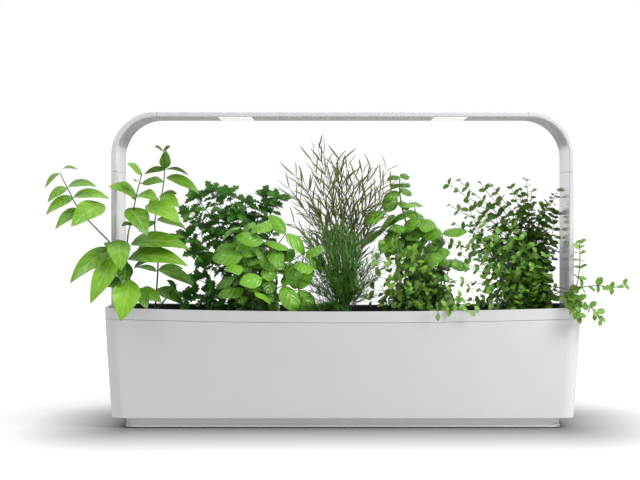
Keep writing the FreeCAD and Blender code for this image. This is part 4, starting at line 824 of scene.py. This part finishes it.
class GARDEN_OT_parsley(bpy.types.Operator):
    """Grows the dark parsley: leaflets in threes with cut edges."""
    bl_idname = "garden.parsley"
    bl_label = "Parsley"

    def execute(self, context):
        seed = context.scene.garden_herbs.seed
        leaf = living_leaf("dark_parsley_leaf", dark="144208", light="5AA426", vein="7CB848",
                           roughness=0.33, side_veins=6.0, pucker=0.6)
        stalk = living_stem("parsley_stem", "1C3D12", "4B7A2C")
        meshes = [
            blade(15, 12, widest=0.6, tip=0.55, fold=0.12, curl=0.4 + 0.2 * k, segments=(6, 13), seed=k, teeth=4,
                  deep=0.6)
            for k in range(3)
        ]
        plant = Plant(7, "parsley", leaf, stalk, seed + 7)
        rng = plant.random
        for tip in PARSLEY_TIPS:
            end = Vector(tip)
            root = (rng.uniform(-8, 8), rng.uniform(-5, 5), 0)
            line = plant.stem([root, (end.x * 0.35, end.y * 0.5, end.z * 0.6), end], thick=1.0, thin=0.5, steps=5)
            count = max(4, round(end.length / 13))
            plant.pairs(meshes, line, start=0.25, count=count, size=(1.0, 1.1), rise=0.35, spin=rng.uniform(0, 3),
                        shade=(-0.1, 0.7), whorl=3)
            for k in range(7):
                out = Vector((rng.uniform(-1, 1), rng.uniform(-1, 0.6), rng.uniform(-0.4, 1.0)))
                mesh = rng.choice(meshes)
                plant.leaf(mesh, line[-1], out, (0.1, -0.9, 0.6), rng.uniform(0.9, 1.3), rng.uniform(0.2, 1.0))
        plant.finish("leaf_parsley")
        return {"FINISHED"}


class GARDEN_OT_basils(bpy.types.Operator):
    """Grows the two basils, with glossy leaves that cup downwards."""
    bl_idname = "garden.basils"
    bl_label = "Basils"

    def execute(self, context):
        settings = context.scene.garden_herbs
        leaf = living_leaf("glossy_basil_leaf", dark="1E5408", light="78B828", vein="A2CE66",
                           roughness=0.27, side_veins=5.0, pucker=0.75)
        stalk = living_stem("basil_stem", "2E4A1C", "6C9440")
        long = settings.basil_leaf
        meshes = [
            blade(long, long * 0.62, widest=0.42, tip=0.75, fold=-0.16, curl=0.9 + 0.2 * k, segments=(6, 10),
                  seed=k)
            for k in range(3)
        ]
        for index, node, tips in ((2, "bush_basil", BUSH_BASIL_TIPS), (9, "tall_basil", TALL_BASIL_TIPS)):
            plant = Plant(index, node, leaf, stalk, settings.seed + index)
            bush(plant, meshes, tips, count=5, size=(0.7, 1.05), thick=1.4, bare=0.4, rise=0.15, bow=0.1,
                 shade=(-0.1, 0.95))
            if node == "tall_basil":
                line = plant.stem(LEADING_BASIL_STEM, thick=1.5, thin=0.7)
                plant.pairs(meshes, line, start=0.55, count=5, size=(1.0, 0.55), rise=0.2, spin=0.4,
                            shade=(0.4, 1.0))
            plant.finish("leaf_basil")
        return {"FINISHED"}


class GARDEN_OT_tarragon(bpy.types.Operator):
    """Grows the tall thin sprigs with long narrow leaves."""
    bl_idname = "garden.tarragon"
    bl_label = "Tarragon"

    def execute(self, context):
        seed = context.scene.garden_herbs.seed
        leaf = living_leaf("narrow_tarragon_leaf", dark="343E1C", light="84974A", vein="94A45C",
                           roughness=0.45, side_veins=1.0, pucker=0.1)
        stalk = living_stem("brown_tarragon_stem", "3A3020", "66683A")
        meshes = [
            blade(27, 1.9, widest=0.45, tip=0.6, fold=0.1, curl=curl, segments=(1, 6), seed=k)
            for k, curl in enumerate((0.25, -0.35, 0.6))
        ]
        plant = Plant(8, "tarragon", leaf, stalk, seed + 8)
        bush(plant, meshes, TARRAGON_TIPS, count=8, size=(1.15, 1.0), thick=0.8, bare=0.35, rise=1.05, bow=0.12,
             shade=(0.1, 0.9))
        plant.finish("leaf_tarragon")
        return {"FINISHED"}


class GARDEN_OT_dill(bpy.types.Operator):
    """Grows the dill: fine branching threads, close together."""
    bl_idname = "garden.dill"
    bl_label = "Dill"

    def execute(self, context):
        seed = context.scene.garden_herbs.seed
        leaf = living_leaf("feathery_dill_thread", dark="2A5A14", light="72A83C", vein="7CAE48",
                           roughness=0.5, side_veins=1.0, pucker=0.05)
        stalk = living_stem("dill_stem", "234A1A", "4D8030")
        meshes = [
            blade(15, 0.75, widest=0.4, tip=0.4, fold=0.1, curl=curl, segments=(1, 3), seed=k)
            for k, curl in enumerate((0.4, -0.3, 0.8))
        ]
        plant = Plant(3, "dill", leaf, stalk, seed + 3)
        rng = plant.random
        for tip in DILL_TIPS * 3:
            strayed = Vector((tip[0] * 0.12 + rng.uniform(-7, 7), rng.uniform(-5, 5), rng.uniform(-8, 2)))
            end = Vector(tip) + strayed
            root = Vector((rng.uniform(-7, 7), rng.uniform(-5, 5), 0))
            line = plant.stem([root, root.lerp(end, 0.5) + Vector((0, 0, 6)), end], thick=0.5, thin=0.2, steps=4)
            for k in range(10):
                t = 0.3 + 0.7 * k / 9
                spot = t * (len(line) - 1)
                i = min(int(spot), len(line) - 2)
                base = line[i].lerp(line[i + 1], spot - i)
                axis = (line[i + 1] - line[i]).normalized()
                for _ in range(7):
                    out = Vector((rng.uniform(-1, 1), rng.uniform(-1, 1), rng.uniform(-0.2, 0.6))) + axis * 0.9
                    mesh = rng.choice(meshes)
                    plant.leaf(mesh, base, out, (0, -0.5, 1), rng.uniform(0.5, 1.1), rng.uniform(0.0, 0.9))
        plant.finish("leaf_dill")
        return {"FINISHED"}


class GARDEN_OT_creeping_thyme(bpy.types.Operator):
    """Grows the low herb with small leaves that spills over the rim."""
    bl_idname = "garden.creeping_thyme"
    bl_label = "Creeping thyme"

    def execute(self, context):
        seed = context.scene.garden_herbs.seed
        leaf = living_leaf("small_thyme_leaf", dark="1E480A", light="72A030", vein="90B450",
                           roughness=0.36, side_veins=3.0, pucker=0.2)
        stalk = living_stem("thyme_stem", "2B3A1A", "5B6F36")
        meshes = [
            blade(12, 6.4, widest=0.5, tip=0.7, fold=0.1, curl=0.5 * k, segments=(2, 5), seed=k) for k in range(3)
        ]
        plant = Plant(4, "creeping_thyme", leaf, stalk, seed + 4)
        bush(plant, meshes, THYME_TIPS, count=13, size=(1.15, 1.0), thick=0.8, bare=0.12, rise=0.3, bow=0.25,
             shade=(-0.1, 0.9))
        for share in (0.85, 0.65, 0.45):
            inner = [Vector(tip) * share for tip in THYME_TIPS[:15:2] + THYME_TIPS[21:]]
            # The inner sprigs take a darker range of tones: painted shade inside the bush
            bush(plant, meshes, inner, count=12, size=(1.15, 1.0), thick=0.8, bare=0.1, rise=0.3, bow=-0.2,
                 shade=(-0.1, 0.6))
        plant.finish("leaf_thyme")
        return {"FINISHED"}


class GARDEN_OT_oreganos(bpy.types.Operator):
    """Grows the two oreganos: upright stems with small oval leaves, and sprigs over the right end."""
    bl_idname = "garden.oreganos"
    bl_label = "Oreganos"

    def execute(self, context):
        settings = context.scene.garden_herbs
        leaf = living_leaf("oval_oregano_leaf", dark="1A440A", light="6C9E2C", vein="98BC58",
                           roughness=0.34, side_veins=3.0, pucker=0.25)
        stalk = living_stem("oregano_stem", "2A3A18", "566E32")
        long = settings.oregano_leaf
        meshes = [
            blade(long, long * 0.68, widest=0.46, tip=0.55, fold=0.08, curl=0.35 * k, segments=(4, 6), seed=k)
            for k in range(3)
        ]
        for index, node, tips in (
            (5, "oregano_front", FRONT_OREGANO_TIPS),
            (10, "oregano_back", BACK_OREGANO_TIPS),
        ):
            plant = Plant(index, node, leaf, stalk, settings.seed + index)
            bush(plant, meshes, tips, count=14, size=(1.1, 0.65), thick=0.8, bare=0.2, rise=0.35, bow=0.38,
                 shade=(0.0, 1.1))
            for share in (0.8, 0.55):
                inner = [Vector(tip) * share + Vector((5, 2, 0)) for tip in tips[::2]]
                # The inner sprigs take a darker range of tones: painted shade inside the bush
                bush(plant, meshes, inner, count=11, size=(1.1, 0.8), thick=0.8, bare=0.1, rise=0.3, bow=-0.15,
                     shade=(-0.15, 0.8))
            if node == "oregano_front":
                for points in OREGANO_TRAILS:
                    line = plant.stem(points, thick=0.9, thin=0.5)
                    plant.pairs(meshes, line, start=0.45, count=8, size=(1.0, 0.7), rise=0.45, spin=0.5,
                                shade=(0.4, 1.0))
            plant.finish("leaf_oregano")
        return {"FINISHED"}


OPERATORS = (
    GARDEN_OT_finishes, GARDEN_OT_broad_leaf_herbs, GARDEN_OT_parsley, GARDEN_OT_basils, GARDEN_OT_tarragon,
    GARDEN_OT_dill, GARDEN_OT_creeping_thyme, GARDEN_OT_oreganos, GARDEN_OT_stage,
)


class GARDEN_PT_panel(bpy.types.Panel):
    """Shows the garden's settings and the buttons for its steps in the sidebar."""
    bl_idname = "GARDEN_PT_panel"
    bl_label = "Garden"
    bl_space_type = "VIEW_3D"
    bl_region_type = "UI"
    bl_category = "Garden"

    def draw(self, context):
        for group in (context.scene.garden_finish, context.scene.garden_herbs, context.scene.garden_stage):
            box = self.layout.box()
            for name in group.bl_rna.properties.keys():
                if name not in ("rna_type", "name"):
                    box.prop(group, name)
        for operator in OPERATORS:
            self.layout.operator(operator.bl_idname)


GROUPS = (GardenFinish, GardenHerbs, GardenStage)


def register():
    for group in GROUPS + OPERATORS + (GARDEN_PT_panel,):
        bpy.utils.register_class(group)
    bpy.types.Scene.garden_finish = PointerProperty(type=GardenFinish)
    bpy.types.Scene.garden_herbs = PointerProperty(type=GardenHerbs)
    bpy.types.Scene.garden_stage = PointerProperty(type=GardenStage)


def unregister():
    for name in ("garden_finish", "garden_herbs", "garden_stage"):
        delattr(bpy.types.Scene, name)
    for group in reversed(GROUPS + OPERATORS + (GARDEN_PT_panel,)):
        bpy.utils.unregister_class(group)


def main():
    register()
    for operator in OPERATORS:
        family, name = operator.bl_idname.split(".")
        getattr(getattr(bpy.ops, family), name)()


if __name__ == "__main__":
    main()
